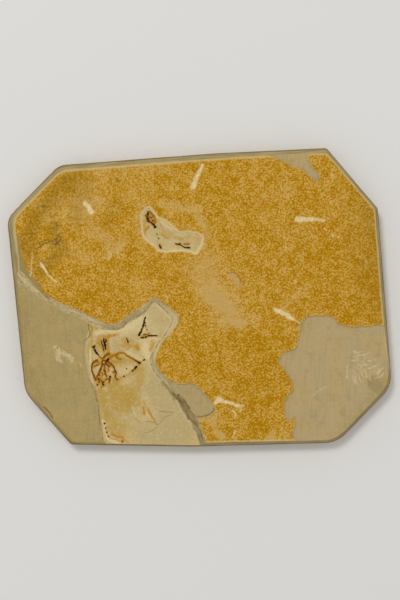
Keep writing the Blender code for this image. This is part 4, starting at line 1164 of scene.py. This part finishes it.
def lattice(step, low, high, seed):
    """Slightly shaken points of a triangular grid."""
    columns = int((high[0] - low[0]) / step) + 1
    rows = int((high[1] - low[1]) / (step * ROW_HEIGHT)) + 1
    row, column = np.mgrid[0:rows, 0:columns]
    x = low[0] + (column + 0.5 * (row % 2)) * step
    y = low[1] + row * step * ROW_HEIGHT
    points = np.stack([x.ravel(), y.ravel()], axis=1)
    return points + np.random.default_rng(seed).uniform(-LATTICE_SHAKE, LATTICE_SHAKE, points.shape) * step


def wanted_step(stone, points):
    """How fine the mesh should be at each point."""
    step = np.full(len(points), PLAIN_STEP)
    fine = inside(points, stone.cut) & ~inside(points, stone.grey)
    fine |= inside(points, stone.pits[WINDOW][0])
    fine |= paint(points, [mark for mark in PALE + SCRATCH + SMUDGE if mark[0] > CLEAR_MARK]) > 0.0
    step[fine] = FINE_STEP
    (left, bottom), (right, top) = FISH_AREA
    x, y = points.T
    step[fine & (x > left) & (x < right) & (y > bottom) & (y < top)] = FISH_STEP
    return step


def ring_edges(first, count):
    return [(first + i, first + (i + 1) % count) for i in range(count)]


def triangulate(points, edges, count):
    """Points and triangles of a mesh that keeps the edges, and where its first few points went."""
    given = [tuple(point) for point in points]
    edges = [(int(a), int(b)) for a, b in edges]
    place, _, triangles, sources, _, _ = delaunay_2d_cdt(given, edges, [], 1, MERGE)
    found = {source: index for index, merged in enumerate(sources) for source in merged}
    place = np.array([tuple(point) for point in place])
    return place, np.array([tuple(face) for face in triangles]), np.array([found[i] for i in range(count)])


def guide_points(stone):
    """Points and edges that the face's mesh has to keep: rings round the rim, then lines inside it."""
    count = len(stone.outer)
    points = [stone.outer] + [between(stone.outer, stone.face, share) for share in RIM_SHARES]
    edges = []
    for number in range(len(points)):
        edges += ring_edges(number * count, count)
    total = count * len(points)
    for line in stone.lines():
        kept = inside(line, stone.outer) & (stone.bevel_share(line) > RIM_SHARES[1])
        ids = np.full(len(line), -1)
        ids[kept] = total + np.arange(kept.sum())
        points.append(line[kept])
        total += kept.sum()
        edges += [(a, b) for a, b in zip(ids[:-1], ids[1:]) if a >= 0 and b >= 0]
    return np.vstack(points), edges


def face_layout(stone):
    """Points and triangles of the slab's face in the plane, and which points are its outline."""
    guides, edges = guide_points(stone)
    points = [guides]
    low, high = stone.outer.min(0), stone.outer.max(0)
    for seed, step in enumerate((PLAIN_STEP, FINE_STEP, FISH_STEP), LATTICE_SEED):
        grid = lattice(step, low, high, seed)
        grid = grid[inside(grid, stone.face)]
        grid = grid[wanted_step(stone, grid) == step]
        points.append(away_from(grid, guides, FACE_GAP * step))
    return triangulate(np.vstack(points), edges, len(stone.outer))


def back_layout(outline):
    """Points and triangles of the split back in the plane, and which points are its outline."""
    grid = lattice(BACK_STEP, outline.min(0), outline.max(0), BACK_SEED)
    grid = away_from(grid[inside(grid, outline)], outline, BACK_GAP * BACK_STEP)
    return triangulate(np.vstack([outline, grid]), ring_edges(0, len(outline)), len(outline))


def face_relief(points, kind, pale, cracks):
    """How far wear and grain lower the surface at each point."""
    swell = 0.5 + wave(points, *FLOOR_SWELL)
    grain = 0.5 + wave(points, *FLOOR_GRAIN)
    ripple = 0.5 + wave(points, *FLOOR_RIPPLE)
    always, by_swell, by_ripple, by_grain = RELIEF[kind].T
    relief = always + by_swell * swell + by_ripple * ripple + by_grain * grain
    return relief + PALE_DEPTH * pale + CRACK_DEPTH * cracks


def bevel_height(share):
    return between(BEVEL_BASE, OCHRE_LEVEL, share)


def ground_bevel(place, share):
    """Height of the bevel at each point, with faint lines from grinding."""
    lines = 0.5 + 0.5 * np.sin(share * GRIND_LINES + wave(place, *GRINDING))
    return bevel_height(share) - GRIND_DEPTH * np.sin(np.pi * share) * lines


def face_kinds(stone, middle):
    """The kind of surface at the middle of each triangle."""
    rock, kind = stone.rock(middle)
    return np.where(bevel_height(stone.bevel_share(middle)) < rock - RIM_MARGIN, RIM_FACE, kind)


def side_rows(stone):
    """Rings of points down the sawn side, each with its height, from under the bevel to the back."""
    rows = []
    for number in range(1, SIDE_ROWS + 1):
        height = BEVEL_BASE + (BACK_CHAMFER - BEVEL_BASE) * number / SIDE_ROWS
        bed = wave(np.array([[height * BED_STRETCH, BED_ROW]]), *SIDE_BEDS)
        along = stone.outer.sum(1) * WEAR_ALONG
        drift = np.stack([along, np.full(len(along), height * WEAR_DOWN)], axis=1)
        wear = SIDE_WEAR_MEAN + bed + wave(drift, *SIDE_WEAR)
        rows.append((stone.outer + stone.inward * np.maximum(wear, 0.0)[:, None], height))
    rows.append((stone.outer + stone.inward * BACK_CHAMFER, 0.0))
    return rows


class Shell:
    """The points, faces and kinds of face of a mesh that is put together part by part."""

    def __init__(self):
        self.points = []
        self.faces = []
        self.kinds = []
        self.total = 0

    def add_points(self, place, height):
        """Add points at a height and return their numbers."""
        self.points.append(np.column_stack([place, np.broadcast_to(height, len(place))]))
        self.total += len(place)
        return np.arange(self.total - len(place), self.total)

    def add_faces(self, faces, kind):
        self.faces.append(faces)
        self.kinds.append(np.broadcast_to(kind, len(faces)))

    def add_band(self, above, below, kind):
        """Join two rings of points by triangles."""
        next_above = np.roll(above, -1)
        next_below = np.roll(below, -1)
        self.add_faces(np.column_stack([above, next_above, next_below]), kind)
        self.add_faces(np.column_stack([above, next_below, below]), kind)


def add_back(shell, outline, ring):
    """Close the shell with the split back, inside the ring of points on its outline."""
    place, triangles, order = back_layout(outline)
    lift = smooth_step(line_distance(place, close(outline))[0] / BACK_EDGE)
    lift = BACK_RELIEF * lift * (0.5 + wave(place, *BACK_SWELL) + wave(place, *BACK_GRAIN))
    number = np.full(len(place), -1)
    number[order] = ring
    inner = number < 0
    number[inner] = shell.add_points(place[inner], lift[inner])
    shell.add_faces(number[triangles][:, ::-1], BACK_FACE)


def add_object(name, data):
    made = bpy.data.objects.new(name, data)
    bpy.context.scene.collection.objects.link(made)
    return made


def new_piece(name, points, faces):
    """A mesh object from points in millimetres."""
    mesh = bpy.data.meshes.new(name)
    mesh.from_pydata((points * MM).tolist(), [], faces.tolist())
    mesh.update()
    return add_object(name, mesh)


def add_marks(piece, name, values):
    attribute = piece.data.attributes.new(name, "FLOAT", "POINT")
    filled = np.zeros(len(piece.data.vertices), np.float32)
    filled[:len(values)] = values
    attribute.data.foreach_set("value", filled)


def mark_slab(piece, stone, place, share, kind, pale, cracks):
    """Store on the face's points everything that its materials vary with."""
    stains = [
        (STAIN_STRENGTH[slot], STAIN_REACH + first_width, STAIN_REACH + last_width, *line)
        for slot, _, strokes in BONES.values() for first_width, last_width, _, *line in strokes
    ]
    for name, marks, firmness in (
        ("worn", WORN, 1.0), ("deep", DEEP, 1.0), ("browner", BROWNER, 1.0), ("bare", BARE, 2.0),
        ("smudge", SMUDGE, 1.4), ("mottle", MOTTLE, 1.2), ("gold", GOLD, 1.1), ("halo", HALO, 1.1),
        ("buff", BUFF, 1.1), ("rust", RUST, 1.6), ("seam", SEAM, 1.8), ("shaded", SHADED, 1.6),
        ("stain", stains, 1.0),
    ):
        add_marks(piece, name, paint(place, marks, firmness))
    add_marks(piece, "pale", pale)
    add_marks(piece, "crack", cracks)
    add_marks(piece, "rim", share)
    add_marks(piece, "across", np.where(kind == WALL_FACE, stone.wall_share(place), 0.0))
    add_marks(piece, "near_toe", nearness(place, stone.toe, TOE_REACH))
    add_marks(piece, "near_rim", nearness(place, close(stone.face), RIM_REACH))
    add_marks(piece, "near_window", nearness(place, close(stone.pits[WINDOW][0]), RIM_REACH))
    edges = [nearness(place, close(outline), TOE_REACH) for outline, _, _ in stone.pits[:WINDOW]]
    add_marks(piece, "near_edge", np.max(edges, axis=0))


def make_slab():
    stone = Stone()
    place, triangles, ring = face_layout(stone)
    share = stone.bevel_share(place)
    share[ring] = 0.0
    rock, kind = stone.rock(place)
    pale = np.where(kind == OCHRE_FACE, paint(place, PALE, 1.3), paint(place, SCRATCH, 1.2))
    cracks = paint_lines(place, stone.cracks, CRACKS)
    rock = rock - face_relief(place, kind, pale, cracks)

    shell = Shell()
    shell.add_points(place, np.minimum(rock, ground_bevel(place, share)))
    shell.add_faces(triangles, face_kinds(stone, place[triangles].mean(1)))
    for outline, level in side_rows(stone):
        below = shell.add_points(outline, level)
        shell.add_band(ring, below, SIDE_FACE)
        ring = below
    add_back(shell, outline, ring)

    piece = new_piece("slab_stone", np.vstack(shell.points), np.vstack(shell.faces))
    piece.data.polygons.foreach_set("material_index", np.concatenate(shell.kinds).astype(np.int32))
    piece.data.shade_smooth()
    piece.data.set_sharp_from_angle(angle=SHARP_ANGLE)
    mark_slab(piece, stone, place, share, kind, pale, cracks)
    for make_material in (
        ochre_material, grey_material, wall_material, fossil_material, rim_material, side_material,
        back_material,
    ):
        piece.data.materials.append(make_material())
    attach(piece, "root")
    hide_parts("slab")


def stroke_points(stroke):
    """Samples along a stroke: middle line, width and tone."""
    first_width, last_width, tones, *line = stroke
    middle, _ = smooth_line(line, BONE_STEP)
    along = np.linspace(0.0, 1.0, len(middle))
    width = BONE_SWELL * between(first_width, last_width, along)
    tone = np.interp(along, np.linspace(0.0, 1.0, len(tones)), tones)
    return middle, width, tone


def taper(to_end, start, least):
    """1 along a stroke, less over the last stretch to its end, and never under the least value."""
    return np.clip((to_end + start) / BONE_TAPER, least, 1.0)


def stroke_tube(stroke, level, seed):
    """A closed, uneven, flattened tube along a stroke, tapered at both ends."""
    middle, width, _ = stroke_points(stroke)
    middle = roughen(middle, *BONE_WANDER, seed)
    side = offset_line(middle, 1.0) - middle
    length = np.concatenate([[0.0], np.cumsum(np.linalg.norm(np.diff(middle, axis=0), axis=1))])
    to_end = np.minimum(length, length[-1] - length)
    half = width / 2.0 * (1.0 + wave(middle, *BONE_WAIST, seed + 2))
    half = half * np.sqrt(taper(to_end, *WIDTH_TAPER))
    high = BONE_HEIGHT * (1.0 + wave(middle, *BONE_RISE, seed + 3)) * taper(to_end, *HEIGHT_TAPER)
    points = []
    for place, across, wide, tall in zip(middle, side, half, high):
        for k in range(BONE_SIDES):
            angle = 2.0 * math.pi * k / BONE_SIDES
            rise = math.sin(angle)
            flat = place + across * wide * math.cos(angle)
            points.append((flat[0], flat[1], level + rise * (tall if rise > 0.0 else BONE_ROOT)))
    return points, tube_faces(len(middle))


def tube_faces(count):
    """Faces of a tube of rings, with a flat face at each end."""
    faces = []
    for row in range(count - 1):
        for k in range(BONE_SIDES):
            a = row * BONE_SIDES + k
            b = row * BONE_SIDES + (k + 1) % BONE_SIDES
            faces.append((a, b, b + BONE_SIDES, a + BONE_SIDES))
    faces.append(tuple(range(BONE_SIDES))[::-1])
    faces.append(tuple(range((count - 1) * BONE_SIDES, count * BONE_SIDES)))
    return faces


def fused_strokes(name, level, strokes, seed):
    """All strokes of a bone in one object, fused by remeshing, still in millimetres."""
    points = []
    faces = []
    for number, stroke in enumerate(strokes):
        new_points, new_faces = stroke_tube(stroke, level, seed + SEEDS_PER_STROKE * number)
        faces += [tuple(index + len(points) for index in face) for face in new_faces]
        points += new_points
    mesh = bpy.data.meshes.new(name)
    mesh.from_pydata(points, [], faces)
    piece = add_object(name + "_mineral", mesh)
    remesh = piece.modifiers.new("fuse", "REMESH")
    remesh.mode = "VOXEL"
    remesh.voxel_size = BONE_VOXEL
    graph = bpy.context.evaluated_depsgraph_get()
    fused = bpy.data.meshes.new_from_object(piece.evaluated_get(graph))
    piece.modifiers.clear()
    piece.data = fused
    bpy.data.meshes.remove(mesh)
    fused.name = name + "_mineral"
    return piece


def make_bone(name, level, strokes, material, seed):
    """A bone as one knobbly ridge, coloured by the tones of its strokes."""
    piece = fused_strokes(name, level, strokes, seed)
    mesh = piece.data
    place = np.zeros(len(mesh.vertices) * 3)
    mesh.vertices.foreach_get("co", place)
    place = place.reshape(-1, 3)
    place[:, 2] += wave(place, *BONE_GRAIN, seed + 5) * (place[:, 2] > level)
    middle, _, tone = (np.concatenate(parts) for parts in zip(*map(stroke_points, strokes)))
    nearest = ((place[:, None, :2] - middle[None]) ** 2).sum(2).argmin(1)
    add_marks(piece, "tone", tone[nearest])
    mesh.vertices.foreach_set("co", (place * MM).ravel())
    mesh.update()
    mesh.shade_smooth()
    mesh.materials.append(material)
    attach(piece, "root")
    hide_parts(name)


def linear(colour):
    """A colour as photographed, 0 to 255, as Blender's linear values."""
    return tuple(((part / 255.0 + 0.055) / 1.055) ** 2.4 for part in colour) + (1.0,)


class Graph:
    """A material, the colour that it has so far, and short ways to add nodes to it."""

    def __init__(self, name, roughness, gloss):
        self.material = bpy.data.materials.new(name)
        self.material.use_nodes = True
        self.tree = self.material.node_tree
        self.shader = self.tree.nodes["Principled BSDF"]
        self.shader.inputs["Roughness"].default_value = roughness
        self.shader.inputs["Specular IOR Level"].default_value = gloss
        self.place = self.add("ShaderNodeTexCoord").outputs["Object"]
        self.colour = None

    def add(self, kind, inputs=None, **settings):
        """Add a node with these settings, and set or link its inputs."""
        node = self.tree.nodes.new(kind)
        for key, value in settings.items():
            setattr(node, key, value)
        for key, value in (inputs or {}).items():
            if isinstance(value, bpy.types.NodeSocket):
                self.tree.links.new(value, node.inputs[key])
            else:
                node.inputs[key].default_value = value
        return node

    def noise_at(self, place, detail):
        return self.add("ShaderNodeTexNoise", {"Vector": place, "Scale": 1.0, "Detail": detail}).outputs[0]

    def noise(self, size, detail=2.0, stretch=(1.0, 1.0, 1.0), shift=0.0):
        """Noise about the middle value 0.5, in blotches of about size millimetres."""
        scale = [1.0 / (size * MM * part) for part in stretch]
        inputs = {"Vector": self.place, "Scale": scale, "Location": (shift, shift, shift)}
        return self.noise_at(self.add("ShaderNodeMapping", inputs).outputs[0], detail)

    def streaks(self, name, size, count, shift=0.0):
        """Noise drawn out along a band: count streaks across it, changing every size millimetres."""
        scale = 1.0 / (size * MM)
        inputs = {"Vector": self.place, "Scale": (scale, scale, 0.0), "Location": (shift, shift, 0.0)}
        spot = self.add("ShaderNodeMapping", inputs)
        lift = self.add("ShaderNodeCombineXYZ", {"Z": self.math("MULTIPLY", self.mark(name), count)})
        total = self.add("ShaderNodeVectorMath", {0: spot.outputs[0], 1: lift.outputs[0]}, operation="ADD")
        return self.noise_at(total.outputs[0], 3.0)

    def mark(self, name):
        return self.add("ShaderNodeAttribute", attribute_name=name).outputs["Fac"]

    def levels(self, value, low, high):
        """0 where the value is at low and 1 where it is at high, and a smooth change between."""
        inputs = {"Value": value, "From Min": low, "From Max": high}
        return self.add("ShaderNodeMapRange", inputs, interpolation_type="SMOOTHSTEP").outputs[0]

    def math(self, operation, first, second):
        return self.add("ShaderNodeMath", {0: first, 1: second}, operation=operation).outputs[0]

    def times(self, first, second):
        return self.math("MULTIPLY", first, second)

    def plus(self, first, second):
        return self.math("ADD", first, second)

    def drift(self, value, size, depth, shift=0.0):
        """A value pushed up and down by noise."""
        swing = self.times(self.math("SUBTRACT", self.noise(size, 3.0, shift=shift), 0.5), depth)
        return self.plus(value, swing)

    def mix(self, share, first, second):
        """One colour mixed into another. A colour is a socket, or as photographed."""
        inputs = {MIX_SHARE: share, MIX_FIRST: first, MIX_SECOND: second}
        for key in (MIX_FIRST, MIX_SECOND):
            if isinstance(inputs[key], tuple):
                inputs[key] = linear(inputs[key])
        return self.add("ShaderNodeMix", inputs, data_type="RGBA", clamp_factor=True).outputs[MIX_RESULT]

    def cover(self, colour, share, strength):
        """Cover what is there with a colour, by a share times a strength."""
        self.colour = self.mix(self.times(share, strength), self.colour, colour)

    def blotch(self, colour, strength, size, detail, shift, low, high):
        """Cover with a colour where noise of that size, detail and shift is high."""
        self.cover(colour, self.levels(self.noise(size, detail, shift=shift), low, high), strength)

    def stain(self, colour, strength, name, low, high, size, depth, shift):
        """Cover with a colour where a mark is painted, with its edge broken up by noise."""
        self.cover(colour, self.levels(self.drift(self.mark(name), size, depth, shift), low, high), strength)

    def finish(self, height, depth):
        """Colour the shader, and give it a bump of that depth in millimetres."""
        self.tree.links.new(self.colour, self.shader.inputs["Base Color"])
        bump = self.add("ShaderNodeBump", {"Strength": 1.0, "Distance": depth * MM, "Height": height})
        self.tree.links.new(bump.outputs[0], self.shader.inputs["Normal"])
        return self.material


def ochre_material():
    g = Graph("ochre_lamina", 0.9, 0.05)
    speckle = g.noise(1.05, 1.5)
    tone = g.drift(speckle, 5.5, 0.36, 3.0)
    worn = g.drift(g.mark("worn"), 3.0, 0.5, 5.0)
    tone = g.plus(tone, g.times(g.levels(worn, 0.0, 1.0), 0.15))
    tone = g.math("SUBTRACT", tone, g.times(g.mark("deep"), 0.05))
    g.colour = g.mix(g.levels(tone, 0.32, 0.5), OCHRE_DEEP, OCHRE)
    g.colour = g.mix(g.levels(tone, 0.46, 0.68), g.colour, OCHRE_PALE)
    g.blotch(OCHRE_RED, 0.3, 2.4, 2.0, 17.0, 0.52, 0.7)
    g.cover(TAN, g.levels(worn, 0.1, 0.8), 0.45)
    g.cover(TAN, g.levels(worn, 0.65, 1.0), 0.7)
    spots = g.levels(g.noise(2.0, 3.0, shift=7.0), 0.5, 0.62)
    g.cover(BROWN_SPOT, g.times(g.mark("browner"), spots), 0.75)
    g.cover(OCHRE_DIM, g.mark("browner"), 0.5)
    g.stain(SQUIGGLE, 0.85, "smudge", 0.2, 0.8, 1.0, 0.4, 9.0)
    g.stain(STONE, 0.45, "near_edge", 0.55, 0.95, 1.2, 0.5, 10.0)
    g.stain(CREAM, 0.6, "near_window", 0.6, 1.0, 1.0, 0.8, 12.0)
    g.stain(BARE_TAN, 0.95, "bare", 0.3, 0.6, 1.2, 0.6, 14.0)
    g.stain(CREAM, 0.85, "pale", 0.1, 1.0, 0.9, 0.9, 11.0)
    bright = g.levels(g.noise(1.1, 2.0, shift=22.0), 0.45, 0.65)
    g.cover(CHALK, g.times(g.levels(g.mark("pale"), 0.55, 0.95), bright), 0.75)
    g.stain(CREAM, 0.5, "near_rim", 0.6, 0.9, 1.2, 0.4, 13.0)
    return g.finish(g.plus(speckle, g.noise(0.5, 2.0, shift=15.0)), 0.05)


def grey_material():
    """Grey to beige rock, cooler at the left end of the slab, with mottles and scratches."""
    g = Graph("grey_limestone", 0.82, 0.2)
    axes = g.add("ShaderNodeSeparateXYZ", {0: g.place})
    g.colour = g.mix(g.levels(axes.outputs[0], -0.11, 0.09), GREY_LEFT, GREY_RIGHT)
    g.blotch(TAN, 0.35, 12.0, 4.0, 2.0, 0.42, 0.68)
    g.blotch(GREY_DARK, 0.25, 5.0, 4.0, 3.0, 0.5, 0.75)
    drawn = g.noise(1.6, 3.0, stretch=(1.0, 9.0, 1.0), shift=21.0)
    g.cover(GREY_DARK, g.levels(drawn, 0.45, 0.75), 0.22)
    g.blotch(GREY_DARK, 0.4, 0.9, 2.0, 4.0, 0.5, 0.8)
    g.blotch(STONE, 0.5, 1.5, 2.0, 5.0, 0.5, 0.75)
    g.stain(GREY_DARK, 0.5, "mottle", 0.2, 0.9, 1.4, 0.9, 6.0)
    g.stain(SCRAPED, 0.62, "pale", 0.25, 0.95, 0.7, 1.0, 8.0)
    g.stain(GREY_DARK, 0.4, "near_edge", 0.5, 1.0, 1.6, 0.9, 7.0)
    g.stain(CREAM, 0.5, "near_edge", 0.75, 1.0, 0.8, 0.8, 17.0)
    g.stain(STONE, 0.5, "near_toe", 0.5, 0.9, 1.5, 0.4, 18.0)
    g.stain(GOLDEN, 0.7, "gold", 0.2, 0.7, 0.9, 0.4, 19.0)
    g.stain(BROWN, 0.7, "seam", 0.2, 0.7, 0.8, 0.4, 20.0)
    g.cover(BROWN, g.levels(g.mark("crack"), 0.15, 0.8), 0.6)
    return g.finish(g.plus(g.noise(0.9, 2.0, shift=4.0), g.noise(3.0, 3.0, shift=10.0)), 0.05)


def wall_material():
    g = Graph("cut_wall", 0.85, 0.2)
    wide = g.streaks("across", 16.0, 2.2, 2.5)
    thin = g.streaks("across", 7.0, 5.5, 6.5)
    grain = g.noise(1.0, 3.0, shift=4.5)
    g.colour = g.mix(g.levels(wide, 0.4, 0.6), WALL, WALL_GREY)
    g.cover(STONE, g.levels(thin, 0.5, 0.7), 0.5)
    g.cover(GREY_DARK, g.levels(grain, 0.45, 0.7), 0.5)
    # Painted shade on the wall where the shaded marks lie, streaked with olive along the layers.
    dark = g.levels(g.drift(g.mark("shaded"), 3.0, 0.5, 7.5), 0.1, 0.8)
    g.cover(SHADE_BROWN, dark, 0.5)
    g.cover(OLIVE, g.times(dark, g.levels(thin, 0.62, 0.42)), 0.6)
    low = g.levels(g.drift(g.mark("across"), 2.0, 0.3, 8.5), 0.62, 0.75)
    high = g.levels(g.drift(g.mark("across"), 2.0, 0.3, 8.5), 0.95, 0.82)
    streak = g.times(g.times(low, high), g.levels(g.noise(4.0, 2.0, shift=9.5), 0.42, 0.58))
    g.cover(OLIVE, streak, 0.4)
    g.stain(CREAM, 0.85, "pale", 0.2, 0.9, 1.2, 0.8, 10.5)
    return g.finish(g.plus(grain, thin), 0.12)


def fossil_material():
    g = Graph("fossil_lamina", 0.8, 0.2)
    cloud = g.noise(7.0, 4.0, shift=1.5)
    grain = g.noise(1.2, 3.0, shift=3.5)
    g.colour = FOSSIL
    g.cover(TAN, g.levels(cloud, 0.35, 0.7), 0.5)
    g.stain(GOLDEN, 0.9, "gold", 0.1, 1.0, 2.6, 0.5, 7.5)
    g.stain(BUFF_STONE, 0.95, "buff", 0.1, 0.8, 3.0, 0.35, 5.5)
    g.stain(HALO_CREAM, 0.9, "halo", 0.1, 0.95, 2.0, 0.4, 9.5)
    g.cover(GREY_DARK, g.levels(grain, 0.5, 0.75), 0.35)
    g.blotch(HALO_CREAM, 0.35, 1.6, 2.0, 18.5, 0.52, 0.72)
    g.stain(AMBER, 0.9, "stain", 0.1, 0.9, 0.9, 0.8, 10.5)
    g.stain(ORANGE, 0.85, "rust", 0.1, 1.0, 0.9, 0.8, 11.5)
    g.stain(BROWN, 0.55, "seam", 0.2, 0.8, 0.8, 0.6, 13.5)
    g.cover(BROWN, g.levels(g.mark("crack"), 0.15, 0.8), 0.45)
    g.stain(HALO_CREAM, 0.4, "near_toe", 0.5, 0.9, 1.5, 0.4, 14.5)
    # Painted shadow on the lamina at the foot of the carved wall.
    g.cover(SHADE_BROWN, g.levels(g.mark("shaded"), 0.0, 0.7), 0.55)
    # Lighter on the window's sloped wall and along its edge: partly a pale line in the stone, partly painted
    # light that offsets the shade on the slope.
    g.stain(CHALK, 0.45, "near_window", 0.55, 0.85, 1.0, 0.7, 16.5)
    return g.finish(g.plus(grain, g.times(cloud, 2.0)), 0.07)


def rim_material():
    g = Graph("ground_edge", 0.82, 0.2)
    thin = g.streaks("rim", 14.0, 7.0, 2.2)
    wide = g.streaks("rim", 30.0, 2.5, 5.2)
    share = g.mark("rim")
    g.colour = g.mix(g.levels(thin, 0.38, 0.62), RIM_TAN, RIM_GREY)
    g.cover(STONE, g.levels(wide, 0.5, 0.65), 0.5)
    # Painted shade along the outer edge of the bevel, where it turns away from the light.
    g.cover(RIM_SHADE, g.levels(g.drift(share, 6.0, 0.1), 0.3, 0.06), 0.8)
    g.cover(RIM_PALE, g.levels(g.drift(share, 5.0, 0.25), 0.72, 0.92), 0.75)
    g.stain(GREY_DARK, 0.6, "mottle", 0.2, 0.9, 1.4, 0.9, 6.0)
    g.stain(GOLDEN, 0.7, "gold", 0.2, 0.7, 0.9, 0.4, 19.0)
    g.stain(BROWN, 0.6, "seam", 0.2, 0.7, 0.8, 0.4, 20.0)
    g.stain(CREAM, 0.5, "pale", 0.25, 0.9, 0.9, 0.5, 8.0)
    return g.finish(g.plus(thin, g.noise(1.2, 3.0, shift=4.2)), 0.1)


def side_material():
    g = Graph("sawn_side", 0.85, 0.2)
    beds = g.noise(1.0, 3.0, stretch=(60.0, 60.0, 0.35), shift=2.2)
    patches = g.noise(6.0, 4.0, shift=4.2)
    g.colour = g.mix(g.levels(patches, 0.3, 0.7), GREY_LEFT, TAN)
    g.cover(GREY_DARK, g.levels(beds, 0.4, 0.62), 0.75)
    g.blotch(GREY_DARK, 0.4, 0.9, 2.0, 6.2, 0.5, 0.8)
    return g.finish(g.plus(beds, patches), 0.1)


def back_material():
    g = Graph("split_back", 0.9, 0.2)
    patches = g.noise(14.0, 5.0, shift=6.6)
    grain = g.noise(1.3, 3.0, shift=8.6)
    g.colour = g.mix(g.levels(patches, 0.35, 0.65), GREY_LEFT, TAN)
    g.cover(GREY_DARK, g.levels(grain, 0.5, 0.8), 0.45)
    return g.finish(g.plus(grain, patches), 0.15)


def bone_material():
    g = Graph("bone_mineral", 0.55, 0.12)
    tone = g.drift(g.mark("tone"), 0.8, 0.8)
    g.colour = g.mix(g.levels(tone, 0.05, 0.5), BONE_GOLD, BONE_RED)
    g.colour = g.mix(g.levels(tone, 0.58, 0.86), g.colour, BLACK)
    return g.finish(g.noise(0.35, 3.0, shift=3.0), 0.05)


def make_floor():
    corners = [(-1.0, -1.0, 0.0), (1.0, -1.0, 0.0), (1.0, 1.0, 0.0), (-1.0, 1.0, 0.0)]
    floor = new_piece("studio_floor", FLOOR_REACH * np.array(corners), np.array([[0, 1, 2, 3]]))
    g = Graph("studio_floor", 0.9, 0.3)
    g.shader.inputs["Base Color"].default_value = linear(FLOOR)
    floor.data.materials.append(g.material)


def make_lights():
    world = bpy.data.worlds.new("studio")
    world.use_nodes = True
    sky = world.node_tree.nodes["Background"].inputs
    sky["Color"].default_value = (1.0, 1.0, 1.0, 1.0)
    sky["Strength"].default_value = SKY_LIGHT
    bpy.context.scene.world = world
    lamp = bpy.data.lights.new("key", "AREA")
    lamp.shape = "DISK"
    lamp.size = KEY_SIZE
    lamp.energy = KEY_LIGHT
    key = add_object("key", lamp)
    key.location = KEY_PLACE
    key.rotation_euler = (-key.location).to_track_quat("-Z", "Y").to_euler()


def make_camera():
    data = bpy.data.cameras.new("camera")
    data.lens = LENS
    data.sensor_width = SENSOR
    camera = add_object("camera", data)
    distance = VIEW_HEIGHT * LENS / SENSOR
    camera.location = (CAMERA_X * MM, CAMERA_Y * MM, (OCHRE_LEVEL + distance) * MM)
    bpy.context.scene.camera = camera
    bpy.context.scene.view_settings.view_transform = "Standard"


def main():
    make_camera()
    make_lights()
    make_floor()
    make_slab()
    mineral = bone_material()
    for number, (name, (slot, level, strokes)) in enumerate(BONES.items()):
        make_bone(name, level, strokes, mineral, BONE_SEED + SEEDS_PER_BONE * number)


main()
